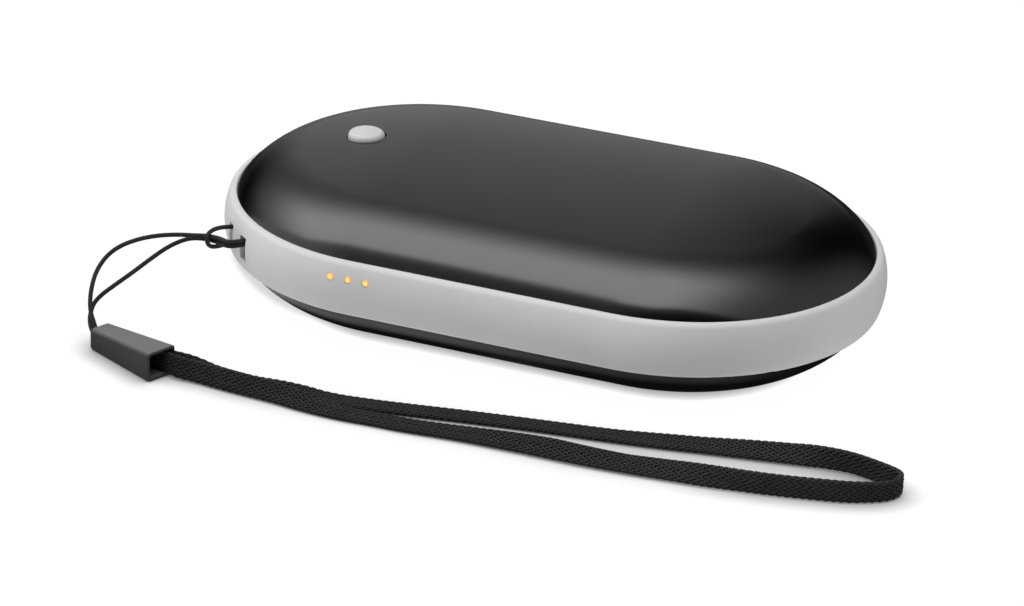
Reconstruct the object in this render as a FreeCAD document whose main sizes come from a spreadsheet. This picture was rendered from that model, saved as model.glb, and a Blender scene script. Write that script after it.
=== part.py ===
"""A rechargeable pocket hand warmer: two domed metal shells on a moulded band, with two
cells, heater films and a charging board inside, and a wrist lanyard hitched to the band.

Millimetres. X runs along the case, with the button, sockets and lanyard at -X, and the
indicator lights face -Y. The case rests on the flat of its bottom shell at Z = 0.
"""
import FreeCAD, Part
import math
import os
import Sketcher
from types import SimpleNamespace

Vector = FreeCAD.Vector
UP = Vector(0, 0, 1)

SIZES = {
    # Case outline: a stadium round the cells, whose ends reach into its half circles
    "end_overlap": 24.0,
    # Shells: a wide crown arc, a tighter shoulder arc and an upright skirt
    "shell_wall": 0.9,
    "crown_radius": 140.0,
    "top_shoulder": 15.0,
    "top_shoulder_angle": 55.0,
    "bottom_shoulder": 15.0,
    "bottom_shoulder_angle": 58.0,
    "flat_depth": 0.31,
    "skirt_depth": 1.0,
    "skirt_clearance": 0.05,
    "bond_thickness": 0.15,
    # Side band
    "stack_room": 5.76,
    "band_bulge": 1.85,
    "band_land": 0.25,
    "band_corner": 1.0,
    "band_ledge": 1.6,
    # Screw bosses inside the band, all with their lower ends at one seat level
    "seat_rise": 1.55,
    "boss_radius": 2.3,
    "boss_height": 4.6,
    "boss_hole_depth": 4.0,
    "boss_gap": 1.5,
    "rib_width": 2.0,
    "rib_length": 1.7,
    "rib_root": 1.0,
    "tray_boss_ahead": 8.5,
    "board_boss_x": 13.0,
    "board_boss_inset": 4.2,
    # Screws
    "screw_radius": 0.8,
    "screw_length": 4.8,
    "screw_head_radius": 1.7,
    "screw_head_height": 1.1,
    "screw_fit": 0.04,
    "screw_slot_width": 0.45,
    "screw_slot_depth": 0.5,
    # Lanyard bar at the left end of the band
    "lanyard_angle": 44.7,
    "lanyard_bar_width": 3.3,
    "lanyard_bar_depth": 1.4,
    "lanyard_hole_width": 2.0,
    "lanyard_hole_height": 3.8,
    "lanyard_tunnel_depth": 2.2,
    "lanyard_wall": 0.8,
    # Button
    "button_back": 10.7,
    "button_radius": 2.75,
    "button_gap": 0.3,
    "button_proud": 0.75,
    "button_crown": 0.25,
    "button_edge": 0.35,
    "button_flange_radius": 3.7,
    "button_flange_thickness": 0.8,
    "button_flange_drop": 1.6,
    "button_stem_radius": 1.4,
    # Push switch under the button
    "switch_side": 6.0,
    "switch_height": 3.4,
    "switch_floor": 0.6,
    "switch_cover_thickness": 0.3,
    "plunger_radius": 1.7,
    "plunger_length": 7.7,
    "plunger_collar_radius": 2.1,
    "plunger_collar_height": 0.5,
    "plunger_fit": 0.1,
    # Circuit board
    "board_thickness": 1.6,
    "board_edge_gap": 1.5,
    "board_margin": 0.2,
    "board_arm_ahead": 5.1,
    "board_arm_width": 5.4,
    # Indicator lights
    "lamp_ahead": 0.3,
    "lamp_pitch": 2.85,
    "lamp_rise": 1.9,
    "lamp_radius": 0.57,
    "lamp_proud": 0.08,
    "lamp_fit": 0.04,
    "guide_depth": 1.8,
    "guide_margin": 0.6,
    "guide_gap": 0.3,
    "lamp_length": 1.6,
    "lamp_width": 1.0,
    "lamp_height": 0.7,
    "lamp_gap": 0.2,
    "resistor_length": 1.0,
    "resistor_width": 0.6,
    "resistor_height": 0.45,
    "resistor_gap": 0.5,
    # Output socket
    "out_width": 13.2,
    "out_height": 5.4,
    "out_switch_gap": 1.4,
    "out_wall": 0.35,
    "out_inset": 0.4,
    "out_y": -3.4,
    "out_tongue_thickness": 1.8,
    "out_tongue_side_gap": 0.7,
    "out_tongue_lift": 1.9,
    "out_tongue_inset": 1.2,
    "out_block_length": 3.0,
    "contact_width": 1.0,
    "contact_pitch": 2.3,
    "contact_thickness": 0.15,
    "contact_length": 7.0,
    # Charging socket
    "in_width": 7.6,
    "in_height": 2.8,
    "in_length": 5.6,
    "in_wall": 0.3,
    "in_inset": 1.5,
    "in_y": 9.6,
    "in_tongue_thickness": 0.6,
    "in_tongue_side_gap": 0.8,
    "in_tongue_lift": 0.8,
    "in_tongue_inset": 0.8,
    "in_block_length": 1.4,
    "socket_fit": 0.2,
    "tongue_fit": 0.05,
    # Parts on the board
    "inductor_radius": 3.5,
    "inductor_height": 4.0,
    "inductor_bore": 1.3,
    "inductor_back": 6.2,
    "inductor_side": 10.6,
    "chip_length": 5.0,
    "chip_width": 4.0,
    "chip_height": 1.2,
    "chip_side": 9.0,
    "capacitor_length": 3.2,
    "capacitor_width": 1.6,
    "capacitor_height": 1.6,
    "capacitor_pitch": 2.4,
    "capacitor_side": 13.0,
    # Cells, side by side along X
    "cell_radius": 9.15,
    "cell_length": 65.0,
    "cell_gap": 1.2,
    "cell_drop": 0.3,
    "cell_play": 0.2,
    "nub_radius": 3.4,
    "nub_height": 0.8,
    "insulator_thickness": 0.4,
    "insulator_margin": 0.8,
    "insulator_fit": 0.2,
    "strip_thickness": 0.15,
    "strip_height": 6.0,
    "strip_reach": 4.0,
    # Battery tray
    "tray_wall": 1.2,
    "tray_lip": 1.0,
    "tray_fit": 0.1,
    "tray_clearance": 0.4,
    "tray_ear_margin": 0.4,
    # Heater films and foam pads
    "film_gap": 0.05,
    "film_thickness": 0.25,
    "film_half_width": 16.0,
    "film_left_reach": 5.1,
    "film_margin": 7.5,
    "pad_thickness": 1.0,
    "pad_gap": 0.05,
    "pad_reach": 1.5,
    "pad_width": 24.0,
    "sensor_radius": 0.7,
    "sensor_length": 3.2,
    "sensor_gap": 0.3,
    # Leads
    "battery_lead_radius": 0.5,
    "heater_lead_radius": 0.45,
    "lead_lap": 1.5,
    "lead_rise": 3.6,
    "lead_slack": 0.6,
    "lead_fit": 0.05,
    "battery_landing": 5.0,
    "heater_landing": 3.5,
    "positive_lead_y": 5.2,
    "negative_lead_y": 5.4,
    "heater_lead_y": 7.6,
    "heater_lead_pitch": 1.6,
    "heater_lead_start": 1.2,
    # Lanyard clip: a tapered sleeve on the strap
    "clip_length": 14.5,
    "clip_mouth_width": 4.2,
    "clip_mouth_height": 4.5,
    "clip_tail_width": 2.5,
    "clip_tail_height": 2.9,
    "clip_pocket_depth": 3.6,
    "clip_wall": 0.55,
    "clip_corner": 0.5,
    "clip_x": -56.25,
    "clip_y": -41.4,
    "clip_turn": 22.9,
    # Cord and strap sections
    "cord_radius": 0.3,
    "strap_width": 3.2,
    "strap_thickness": 0.8,
    # One overrun for every cut
    "overrun": 1.0,
}

# Share of the shorter run that each arc of a cord takes up
ARC_SHARE = 0.45

# The thin cord's route: from the clip up to the front hole, behind the bar, out of the rear
# hole, round both strands, back behind the bar and down to the clip
LANYARD_CORD_ROUTE = [
    (-56.43, -41.78, 1.65), (-57.53, -41.31, 1.65), (-58.45, -40.25, 3.45), (-59.15, -38.60, 5.90),
    (-59.30, -36.40, 8.30), (-58.35, -33.00, 10.70), (-56.20, -29.90, 12.30), (-53.30, -27.20, 13.05),
    (-50.20, -24.95, 13.10), (-47.40, -23.65, 13.05), (-44.60, -23.90, 13.20), (-42.50, -25.10, 13.45),
    (-41.00, -24.00, 13.50), (-40.05, -23.05, 13.50), (-40.05, -21.25, 13.50), (-41.90, -19.35, 13.50),
    (-43.75, -19.25, 13.50), (-45.00, -20.50, 13.60), (-45.55, -21.70, 13.85), (-46.05, -23.25, 14.00),
    (-46.38, -24.54, 13.60), (-46.36, -24.57, 12.20), (-46.02, -23.85, 11.40), (-45.45, -22.40, 11.05),
    (-44.80, -20.40, 10.90), (-43.75, -19.25, 10.90), (-41.90, -19.35, 11.20), (-40.05, -21.25, 12.00),
    (-40.05, -23.05, 12.35), (-41.00, -24.05, 12.40), (-42.60, -25.00, 12.35), (-44.80, -23.75, 12.25),
    (-47.60, -23.25, 12.25), (-50.30, -23.80, 11.95), (-52.60, -25.40, 10.60), (-55.00, -29.00, 8.50),
    (-57.20, -32.90, 6.95), (-58.60, -36.20, 5.50), (-58.75, -38.40, 3.90), (-58.10, -39.80, 2.60),
    (-57.21, -40.54, 1.65), (-56.11, -41.01, 1.65),
]

# The strap's route: out of the clip, along the front leg, round the far end and back
WRIST_STRAP_ROUTE = [
    (-45.88, -45.90, 2.20), (-42.85, -46.98, 2.20), (-39.00, -47.20, 2.05), (-33.00, -47.00, 1.80),
    (-22.40, -47.10, 1.65), (-12.00, -46.80, 1.62), (-3.00, -46.15, 1.62), (7.00, -45.55, 1.62),
    (18.00, -45.60, 1.62), (29.50, -45.00, 1.62), (41.00, -44.30, 1.62), (51.00, -42.90, 1.62),
    (58.50, -41.10, 1.62), (62.60, -39.70, 1.62), (65.31, -38.52, 1.62), (66.80, -36.47, 1.62),
    (66.80, -33.93, 1.62), (65.31, -31.88, 1.62), (62.90, -31.20, 1.62), (58.50, -31.30, 1.62),
    (50.50, -31.75, 1.62), (42.00, -33.05, 1.62), (33.00, -34.70, 1.62), (24.00, -36.25, 1.62),
    (14.00, -37.70, 1.62), (4.00, -39.45, 1.62), (-6.00, -41.30, 1.62), (-15.00, -43.15, 1.62),
    (-24.00, -44.80, 1.65), (-32.50, -45.85, 1.80), (-38.80, -46.20, 2.05), (-42.50, -46.10, 2.20),
    (-45.50, -45.05, 2.20),
]


class Size:
    """A length or an angle in degrees: its present value, and the formula that ties it to the sheet."""

    def __init__(self, formula, value):
        self.formula = formula
        self.value = value

    def __add__(self, other):
        return combine(self, "+", other, self.value + as_size(other).value)

    def __radd__(self, other):
        return as_size(other) + self

    def __sub__(self, other):
        return combine(self, "-", other, self.value - as_size(other).value)

    def __rsub__(self, other):
        return as_size(other) - self

    def __mul__(self, other):
        return combine(self, "*", other, self.value * as_size(other).value)

    def __rmul__(self, other):
        return as_size(other) * self

    def __truediv__(self, other):
        return combine(self, "/", other, self.value / as_size(other).value)

    def __neg__(self):
        return Size(f"(-1 * {self.formula})", -self.value)


def as_size(number):
    return number if isinstance(number, Size) else Size(repr(number), number)


def combine(left, sign, right, value):
    return Size(f"({as_size(left).formula} {sign} {as_size(right).formula})", value)


def root(size):
    return Size(f"sqrt({size.formula})", math.sqrt(size.value))


def sine(angle):
    return Size(f"sin({angle.formula})", math.sin(math.radians(angle.value)))


def cosine(angle):
    return Size(f"cos({angle.formula})", math.cos(math.radians(angle.value)))


def leg(hypotenuse, other_leg):
    """The second leg of a right-angled triangle."""
    return root(hypotenuse * hypotenuse - other_leg * other_leg)


doc = FreeCAD.newDocument("hand_warmer")
sheet = doc.addObject("Spreadsheet::Sheet", "Sizes")
d = SimpleNamespace()
nodes = []


def keep(alias, content, value):
    """Write a named size into the next row of the sheet."""
    setattr(d, alias, Size(f"Sizes.{alias}", value))
    row = len(vars(d))
    sheet.set(f"A{row}", alias)
    sheet.set(f"B{row}", content)
    sheet.setAlias(f"B{row}", alias)


def derive(alias, size):
    """Name a size that follows from others."""
    keep(alias, "=" + size.formula.replace("Sizes.", ""), size.value)


for alias, number in SIZES.items():
    keep(alias, str(number), number)

# The case is built round its cells: their tray, the bosses beside it, then the band's wall
derive("straight_length", d.cell_length - d.end_overlap)
derive("end_x", d.straight_length / 2)
derive("tray_half", d.cell_gap / 2 + d.cell_radius * 2 + d.tray_wall)
derive("tray_boss_y", d.tray_half + d.boss_gap + d.boss_radius)
derive("band_inner", d.tray_boss_y + d.boss_radius + d.rib_length)
derive("rim_radius", d.band_inner + d.band_ledge)
derive("band_radius", d.rim_radius + d.band_bulge)
derive("board_radius", d.band_inner - d.board_edge_gap)
derive("board_boss_y", leg(d.band_inner, d.board_boss_x) - d.board_boss_inset)
derive("button_x", d.end_x + d.button_back)
derive("out_length", d.rim_radius - d.out_inset - d.button_back - d.switch_side / 2 - d.out_switch_gap)
derive("lamp_x", d.end_x - d.lamp_ahead)
derive("board_arm_end", d.end_x - d.board_arm_ahead)
derive("tray_boss_x", d.end_x - d.tray_boss_ahead)
derive("film_left", d.end_x + d.film_left_reach)
derive("pad_length", d.straight_length + d.pad_reach * 2)
derive("sensor_x", d.end_x + d.pad_reach + d.sensor_gap + d.sensor_length)
derive("film_right", d.sensor_x + d.film_margin)
doc.recompute()


def bind(item, name, size):
    item.setExpression(name, as_size(size).formula)


def place(item, x, y, z):
    for axis, size in zip("xyz", (x, y, z)):
        bind(item, f"Placement.Base.{axis}", size)
    return item


def node(item, label):
    """Name a finished piece and list it for export."""
    item.Label = label
    nodes.append(item)
    return item


def block(name, size, corner):
    item = doc.addObject("Part::Box", name)
    for side, length in zip(("Length", "Width", "Height"), size):
        bind(item, side, length)
    return place(item, *corner)


def rod(name, radius, length, base, axis=UP):
    item = doc.addObject("Part::Cylinder", name)
    item.Placement = FreeCAD.Placement(Vector(), FreeCAD.Rotation(UP, axis))
    bind(item, "Radius", radius)
    bind(item, "Height", length)
    return place(item, *base)


def join(name, pieces):
    item = doc.addObject("Part::MultiFuse", name)
    item.Shapes = pieces
    item.Refine = True
    return item


def cut(name, base, tool):
    item = doc.addObject("Part::Cut", name)
    item.Base = base
    item.Tool = tool
    return item


def common(name, first, second):
    item = doc.addObject("Part::Common", name)
    item.Base = first
    item.Tool = second
    return item


def group(name, pieces):
    item = doc.addObject("Part::Compound", name)
    item.Links = pieces
    return item


def stadium_slab(name, radius, bottom, height):
    """A plate with the case's outline, drawn in to the given end radius."""
    half = d.straight_length / 2
    middle_block = block(name + "_middle", (d.straight_length, radius * 2, height), (-half, -radius, bottom))
    left = rod(name + "_left", radius, height, (-half, 0, bottom))
    right = rod(name + "_right", radius, height, (half, 0, bottom))
    return join(name, [middle_block, left, right])


class Corner:
    """A corner of an outline, and the edge from it to the next: a line, or an arc that turns
    left (1) or right (-1) with the given radius."""

    def __init__(self, x, y, radius=None, turn=0):
        self.x = as_size(x)
        self.y = as_size(y)
        self.radius = radius
        self.turn = turn

    def point(self):
        return Vector(self.x.value, self.y.value, 0)


def mirrored(corners):
    return [Corner(-c.x, c.y, c.radius, -c.turn) for c in corners]


def edge_between(corner, following):
    start = corner.point()
    end = following.point()
    if corner.radius is None:
        return Part.LineSegment(start, end)
    chord = end - start
    left = Vector(-chord.y, chord.x, 0).normalize()
    rise = math.sqrt(corner.radius.value ** 2 - chord.Length ** 2 / 4)
    centre = (start + end) / 2 + left * rise * corner.turn
    first, last = (start, end) if corner.turn > 0 else (end, start)
    angles = [math.atan2(p.y - centre.y, p.x - centre.x) for p in (first, last)]
    if angles[1] < angles[0]:
        angles[1] += 2 * math.pi
    return Part.ArcOfCircle(Part.Circle(centre, UP, corner.radius.value), *angles)


def outline(body, name, plane_role, corners, offset=0):
    """A closed sketch with every corner and radius tied to the sheet."""
    plane = next(f for f in body.Origin.OriginFeatures if f.Role == plane_role)
    sketch = body.newObject("Sketcher::SketchObject", name)
    sketch.AttachmentSupport = (plane, [""])
    sketch.MapMode = "FlatFace"
    bind(sketch, "AttachmentOffset.Base.z", offset)
    following = corners[1:] + corners[:1]
    sketch.addGeometry([edge_between(c, f) for c, f in zip(corners, following)], False)
    # An arc that turns right is stored from its far end, so its first corner is its end point
    starts = [2 if c.turn < 0 else 1 for c in corners]
    finishes = [1 if c.turn < 0 else 2 for c in corners]
    for index, corner in enumerate(corners):
        after = (index + 1) % len(corners)
        meeting = (index, finishes[index], after, starts[after])
        sketch.addConstraint(Sketcher.Constraint("Coincident", *meeting))
        for kind, size in (("DistanceX", corner.x), ("DistanceY", corner.y)):
            fixed = sketch.addConstraint(Sketcher.Constraint(kind, -1, 1, index, starts[index], size.value))
            bind(sketch, f"Constraints[{fixed}]", size)
        if corner.radius is not None:
            fixed = sketch.addConstraint(Sketcher.Constraint("Radius", index, corner.radius.value))
            bind(sketch, f"Constraints[{fixed}]", corner.radius)
    return sketch


def revolve(body, name, sketch, angle, reverse=False):
    feature = body.newObject("PartDesign::Revolution", name)
    feature.Profile = sketch
    feature.ReferenceAxis = (sketch, ["V_Axis"])
    feature.Angle = angle
    feature.Reversed = reverse
    return feature


def pad(body, name, sketch, length):
    feature = body.newObject("PartDesign::Pad", name)
    feature.Profile = sketch
    bind(feature, "Length", length)
    return feature


def round_the_case(name, section):
    """Carry a half section round the stadium: a half turn at each end and two straight sides."""
    body = doc.addObject("PartDesign::Body", name)
    half = d.straight_length / 2
    right = outline(body, name + "_right_section", "YZ_Plane", section, half)
    revolve(body, name + "_right_end", right, 180, reverse=True)
    for side, corners in (("rear", section), ("front", mirrored(section))):
        sketch = outline(body, f"{name}_{side}_section", "YZ_Plane", corners, -half)
        pad(body, f"{name}_{side}_side", sketch, d.straight_length)
    left = outline(body, name + "_left_section", "YZ_Plane", section, -half)
    revolve(body, name + "_left_end", left, 180)
    return body


class Dome:
    """The curve of a shell, measured from its rim: a shoulder arc from the rim, then a crown arc."""

    def __init__(self, shoulder, slope):
        self.shoulder = shoulder
        self.shoulder_x = d.rim_radius - shoulder * sine(slope)
        self.shoulder_drop = shoulder * cosine(slope)
        self.reach = leg(d.crown_radius - shoulder, self.shoulder_x)
        self.crown_drop = self.shoulder_drop + self.reach
        self.height = d.crown_radius - self.crown_drop

    def join(self, depth):
        """Where the crown meets the shoulder, at a depth under the outer face."""
        share = (d.crown_radius - depth) / (d.crown_radius - self.shoulder)
        return self.shoulder_x * share, self.reach * share - self.crown_drop

    def crown_rise(self, r, depth):
        return leg(d.crown_radius - depth, r) - self.crown_drop

    def shoulder_rise(self, r, depth):
        return leg(self.shoulder - depth, r - self.shoulder_x) - self.shoulder_drop


# Levels of the case
top_dome = Dome(d.top_shoulder, d.top_shoulder_angle)
bottom_dome = Dome(d.bottom_shoulder, d.bottom_shoulder_angle)
# The band takes up what the domes leave of the cells, pads, films and shell walls
derive("band_height", d.cell_radius * 2 + d.stack_room - top_dome.height - bottom_dome.height + d.flat_depth)
doc.recompute()
low_rim = bottom_dome.height - d.flat_depth
middle = low_rim + d.band_height / 2
high_rim = low_rim + d.band_height
rebate = d.skirt_depth + d.bond_thickness
seat = low_rim + d.seat_rise
board_bottom = seat - d.board_thickness
end_x = d.end_x
band_radius = d.band_radius
band_inner = d.band_inner
cell_axis = middle - d.cell_drop
button_x = -d.button_x


def shell_section(rim, way, dome, flat):
    """Half section of a shell; way is 1 upwards, -1 downwards, and flat is cut off its crown."""
    wall = d.shell_wall
    skirt_end = rim - d.skirt_depth * way
    inner_r = d.rim_radius - wall
    crown = rim + dome.height * way
    outer_join, outer_rise = dome.join(0)
    inner_join, inner_rise = dome.join(wall)
    if flat is None:
        top = [Corner(0, crown, d.crown_radius, -way)]
    else:
        land = crown - flat * way
        land_r = leg(d.crown_radius, d.crown_radius - flat)
        top = [Corner(0, land), Corner(land_r, land, d.crown_radius, -way)]
    return top + [
        Corner(outer_join, rim + outer_rise * way, dome.shoulder, -way),
        Corner(d.rim_radius, rim),
        Corner(d.rim_radius, skirt_end),
        Corner(inner_r, skirt_end),
        Corner(inner_r, rim + dome.shoulder_rise(inner_r, wall) * way, dome.shoulder - wall, way),
        Corner(inner_join, rim + inner_rise * way, d.crown_radius - wall, way),
        Corner(0, crown - wall * way),
    ]


# Top shell: pressed metal, with the hole that the button comes up through
top_pressing = round_the_case("top_pressing", shell_section(high_rim, 1, top_dome, None))
button_hole = rod(
    "button_hole", d.button_radius + d.button_gap, top_dome.height + d.overrun, (button_x, 0, high_rim)
)
node(cut("top_shell_cut", top_pressing, button_hole), "top_shell")

# Bottom shell: the same pressing with a flat land to rest on
bottom_pressing = round_the_case("bottom_pressing", shell_section(low_rim, -1, bottom_dome, d.flat_depth))
node(bottom_pressing, "bottom_shell")


def bond_section(bottom):
    inner_r = d.rim_radius - d.shell_wall
    top = bottom + d.bond_thickness
    return [
        Corner(inner_r, bottom),
        Corner(d.rim_radius, bottom),
        Corner(d.rim_radius, top),
        Corner(inner_r, top),
    ]


# Adhesive beads between the shells' skirts and the ledges of the band
node(round_the_case("upper_bead", bond_section(high_rim - rebate)), "upper_bond_ring")
node(round_the_case("lower_bead", bond_section(low_rim + d.skirt_depth)), "lower_bond_ring")


def band_section():
    """Half section of the band: a bulged wall with rounded corners, and a rebate for each skirt."""
    spare = d.band_bulge - d.band_land - d.band_corner
    corner_rise = d.band_height / 2 - d.band_corner
    inset = (corner_rise * corner_rise - spare * spare) / (spare * 2)
    wall_arc = inset + d.band_bulge - d.band_land
    share = wall_arc / (wall_arc - d.band_corner)
    land_r = d.rim_radius + d.band_land
    blend_r = land_r - inset + inset * share
    blend_rise = corner_rise * share
    rebate_r = d.rim_radius + d.skirt_clearance
    return [
        Corner(rebate_r, high_rim),
        Corner(land_r, high_rim, d.band_corner, -1),
        Corner(blend_r, middle + blend_rise, wall_arc, -1),
        Corner(blend_r, middle - blend_rise, d.band_corner, -1),
        Corner(land_r, low_rim),
        Corner(rebate_r, low_rim),
        Corner(rebate_r, low_rim + rebate),
        Corner(band_inner, low_rim + rebate),
        Corner(band_inner, high_rim - rebate),
        Corner(rebate_r, high_rim - rebate),
    ]


# Places of the screws: four ears of the tray and two corners of the board
tray_screw_places = [(d.tray_boss_x * i, d.tray_boss_y * j) for i in (-1, 1) for j in (-1, 1)]
board_screw_places = [(-end_x - d.board_boss_x, d.board_boss_y * j) for j in (-1, 1)]


def screw_boss(name, x, y, wall_y):
    """A boss that hangs above the seat, tied to the band's wall by a rib."""
    boss = rod(name, d.boss_radius, d.boss_height, (x, y, seat))
    reach = wall_y + d.rib_root
    if y.value > 0:
        low_y, width = y, reach - y
    else:
        low_y, width = -reach, reach + y
    rib = block(name + "_rib", (d.rib_width, width, d.boss_height), (x - d.rib_width / 2, low_y, seat))
    return [boss, rib]


def turned_block(name, size, inner_r, side, bottom):
    """A block laid out along the lanyard's direction from the left end's centre."""
    item = block(name, size, (0, 0, 0))
    angle = 180 + d.lanyard_angle
    item.Placement.Rotation = FreeCAD.Rotation(UP, angle.value)
    bind(item, "Placement.Rotation.Angle", angle)
    x = inner_r * cosine(angle) - side * sine(angle) - end_x
    y = inner_r * sine(angle) + side * cosine(angle)
    return place(item, x, y, bottom)


# Lanyard bar: a pocket behind a short bar, reached by a hole on each side of it
bar_inner = band_radius - d.lanyard_bar_depth
tunnel_inner = bar_inner - d.lanyard_tunnel_depth
tunnel_width = d.lanyard_bar_width + d.lanyard_hole_width * 2
tunnel_low = middle - d.lanyard_hole_height / 2
pocket_width = tunnel_width + d.lanyard_wall * 2
pocket_height = d.lanyard_hole_height + d.lanyard_wall * 2
lanyard_pocket = turned_block(
    "lanyard_pocket",
    (bar_inner - tunnel_inner + d.lanyard_wall, pocket_width, pocket_height),
    tunnel_inner - d.lanyard_wall,
    -pocket_width / 2,
    tunnel_low - d.lanyard_wall,
)
lanyard_tunnel = turned_block(
    "lanyard_tunnel",
    (d.lanyard_tunnel_depth, tunnel_width, d.lanyard_hole_height),
    tunnel_inner,
    -tunnel_width / 2,
    tunnel_low,
)
lanyard_holes = [
    turned_block(
        f"lanyard_hole_{label}",
        (band_radius - tunnel_inner + d.overrun, d.lanyard_hole_width, d.lanyard_hole_height),
        tunnel_inner,
        side,
        tunnel_low,
    )
    for label, side in (("rear", -tunnel_width / 2), ("front", d.lanyard_bar_width / 2))
]

# Sockets: how far along X each mouth stands, just inside the band's left end
out_front = d.out_inset - end_x - d.rim_radius
in_front = d.in_inset - end_x - d.rim_radius


def socket_window(name, front, y, width, height):
    fit = d.socket_fit
    length = front + end_x + band_radius + d.band_ledge * 2 + d.band_bulge
    return block(
        name,
        (length, width + fit * 2, height + fit * 2),
        (-end_x - band_radius - d.overrun, y - width / 2 - fit, seat - fit),
    )


lamp_places = [-d.lamp_x + d.lamp_pitch * i for i in (-1, 0, 1)]
lamp_z = middle + d.lamp_rise
lamp_holes = [
    rod(
        f"lamp_hole_{i}",
        d.lamp_radius + d.lamp_fit,
        d.band_ledge + d.band_bulge + d.overrun * 2,
        (x, -band_inner + d.overrun, lamp_z),
        Vector(0, -1, 0),
    )
    for i, x in enumerate(lamp_places)
]

# Side band: the moulded ring with its bosses, lanyard bar, windows and lamp holes
band_ring = round_the_case("band_ring", band_section())
band_parts = [band_ring, lanyard_pocket]
pilot_holes = []
for i, (x, y) in enumerate(tray_screw_places):
    band_parts += screw_boss(f"tray_boss_{i}", x, y, band_inner)
for i, (x, y) in enumerate(board_screw_places):
    band_parts += screw_boss(f"board_boss_{i}", x, y, leg(band_inner, d.board_boss_x))
for i, (x, y) in enumerate(tray_screw_places + board_screw_places):
    hole_radius = d.screw_radius + d.screw_fit
    depth = d.boss_hole_depth + d.overrun
    pilot_holes.append(rod(f"pilot_hole_{i}", hole_radius, depth, (x, y, seat - d.overrun)))
band_cuts = join(
    "band_cuts",
    [
        lanyard_tunnel,
        *lanyard_holes,
        socket_window("out_window", out_front, d.out_y, d.out_width, d.out_height),
        socket_window("in_window", in_front, d.in_y, d.in_width, d.in_height),
        *lamp_holes,
        *pilot_holes,
    ],
)
node(cut("side_band_cut", join("band_moulding", band_parts), band_cuts), "side_band")

# Button: a crowned cap with a flange that the shell holds in, and a stem down to the switch
switch_x = button_x - d.switch_side / 2
switch_top = seat + d.switch_height
plunger_bottom = switch_top - d.plunger_collar_height - d.plunger_fit
plunger_top = plunger_bottom + d.plunger_length
button_surface = high_rim + top_dome.crown_rise(d.button_x - end_x, 0)
button_top = button_surface + d.button_proud
flange_top = button_surface - d.button_flange_drop
flange_bottom = flange_top - d.button_flange_thickness
cap_flat = d.button_radius - d.button_edge
cap_crown = (cap_flat * cap_flat + d.button_crown * d.button_crown) / (d.button_crown * 2)
button_body = doc.addObject("PartDesign::Body", "button_moulding")
button_section = outline(
    button_body,
    "button_section",
    "YZ_Plane",
    [
        Corner(0, button_top, cap_crown, -1),
        Corner(cap_flat, button_top - d.button_crown, d.button_edge, -1),
        Corner(d.button_radius, button_top - d.button_crown - d.button_edge),
        Corner(d.button_radius, flange_top),
        Corner(d.button_flange_radius, flange_top),
        Corner(d.button_flange_radius, flange_bottom),
        Corner(d.button_stem_radius, flange_bottom),
        Corner(d.button_stem_radius, plunger_top),
        Corner(0, plunger_top),
    ],
    button_x,
)
revolve(button_body, "button_turning", button_section, 360)
node(button_body, "button_cap")

# Push switch: a square housing with a metal cover, and the plunger that the stem presses
switch_block = block(
    "switch_block", (d.switch_side, d.switch_side, d.switch_height), (switch_x, -d.switch_side / 2, seat)
)
switch_well = rod(
    "switch_well",
    d.plunger_collar_radius + d.plunger_fit,
    d.switch_height + d.overrun,
    (button_x, 0, seat + d.switch_floor),
)
node(cut("switch_housing_cut", switch_block, switch_well), "switch_housing")
cover_plate = block(
    "cover_plate",
    (d.switch_side, d.switch_side, d.switch_cover_thickness),
    (switch_x, -d.switch_side / 2, switch_top),
)
cover_hole = rod(
    "cover_hole",
    d.plunger_radius + d.plunger_fit,
    d.switch_cover_thickness + d.overrun * 2,
    (button_x, 0, switch_top - d.overrun),
)
node(cut("switch_cover_cut", cover_plate, cover_hole), "switch_cover")
plunger_rod = rod("plunger_rod", d.plunger_radius, d.plunger_length, (button_x, 0, plunger_bottom))
plunger_collar = rod(
    "plunger_collar", d.plunger_collar_radius, d.plunger_collar_height, (button_x, 0, plunger_bottom)
)
node(join("plunger", [plunger_rod, plunger_collar]), "switch_plunger")

# Circuit board: a D-shaped plate in the left end, with an arm along the front to the lights
board_right = button_x + d.switch_side / 2 + d.board_margin
board_slab = stadium_slab("board_slab", d.board_radius, board_bottom, d.board_thickness)
board_main = block(
    "board_main",
    (board_right + end_x + d.board_radius, d.board_radius * 2, d.board_thickness),
    (-end_x - d.board_radius, -d.board_radius, board_bottom),
)
board_arm = block(
    "board_arm",
    (-d.board_arm_end - board_right + d.overrun, d.board_arm_width, d.board_thickness),
    (board_right - d.overrun, -d.board_radius, board_bottom),
)
board_blank = common("board_blank", board_slab, join("board_outline", [board_main, board_arm]))
board_holes = join(
    "board_holes",
    [
        rod(
            f"board_hole_{i}",
            d.screw_radius + d.screw_fit,
            d.board_thickness + d.overrun * 2,
            (x, y, board_bottom - d.overrun),
        )
        for i, (x, y) in enumerate(board_screw_places)
    ],
)
node(cut("circuit_board_cut", board_blank, board_holes), "circuit_board")


def screws(name, places):
    """Slotted pan-head screws, driven upwards into the bosses."""
    head_bottom = board_bottom - d.screw_head_height
    made = []
    for i, (x, y) in enumerate(places):
        shank = rod(f"{name}_shank_{i}", d.screw_radius, d.screw_length, (x, y, board_bottom))
        head = rod(f"{name}_head_{i}", d.screw_head_radius, d.screw_head_height, (x, y, head_bottom))
        slot = block(
            f"{name}_slot_{i}",
            (d.screw_head_radius * 2, d.screw_slot_width, d.screw_slot_depth),
            (x - d.screw_head_radius, y - d.screw_slot_width / 2, head_bottom),
        )
        made.append(cut(f"{name}_{i}", join(f"{name}_blank_{i}", [shank, head]), slot))
    return group(name, made)


node(screws("board_screw_set", board_screw_places), "board_screws")

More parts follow.
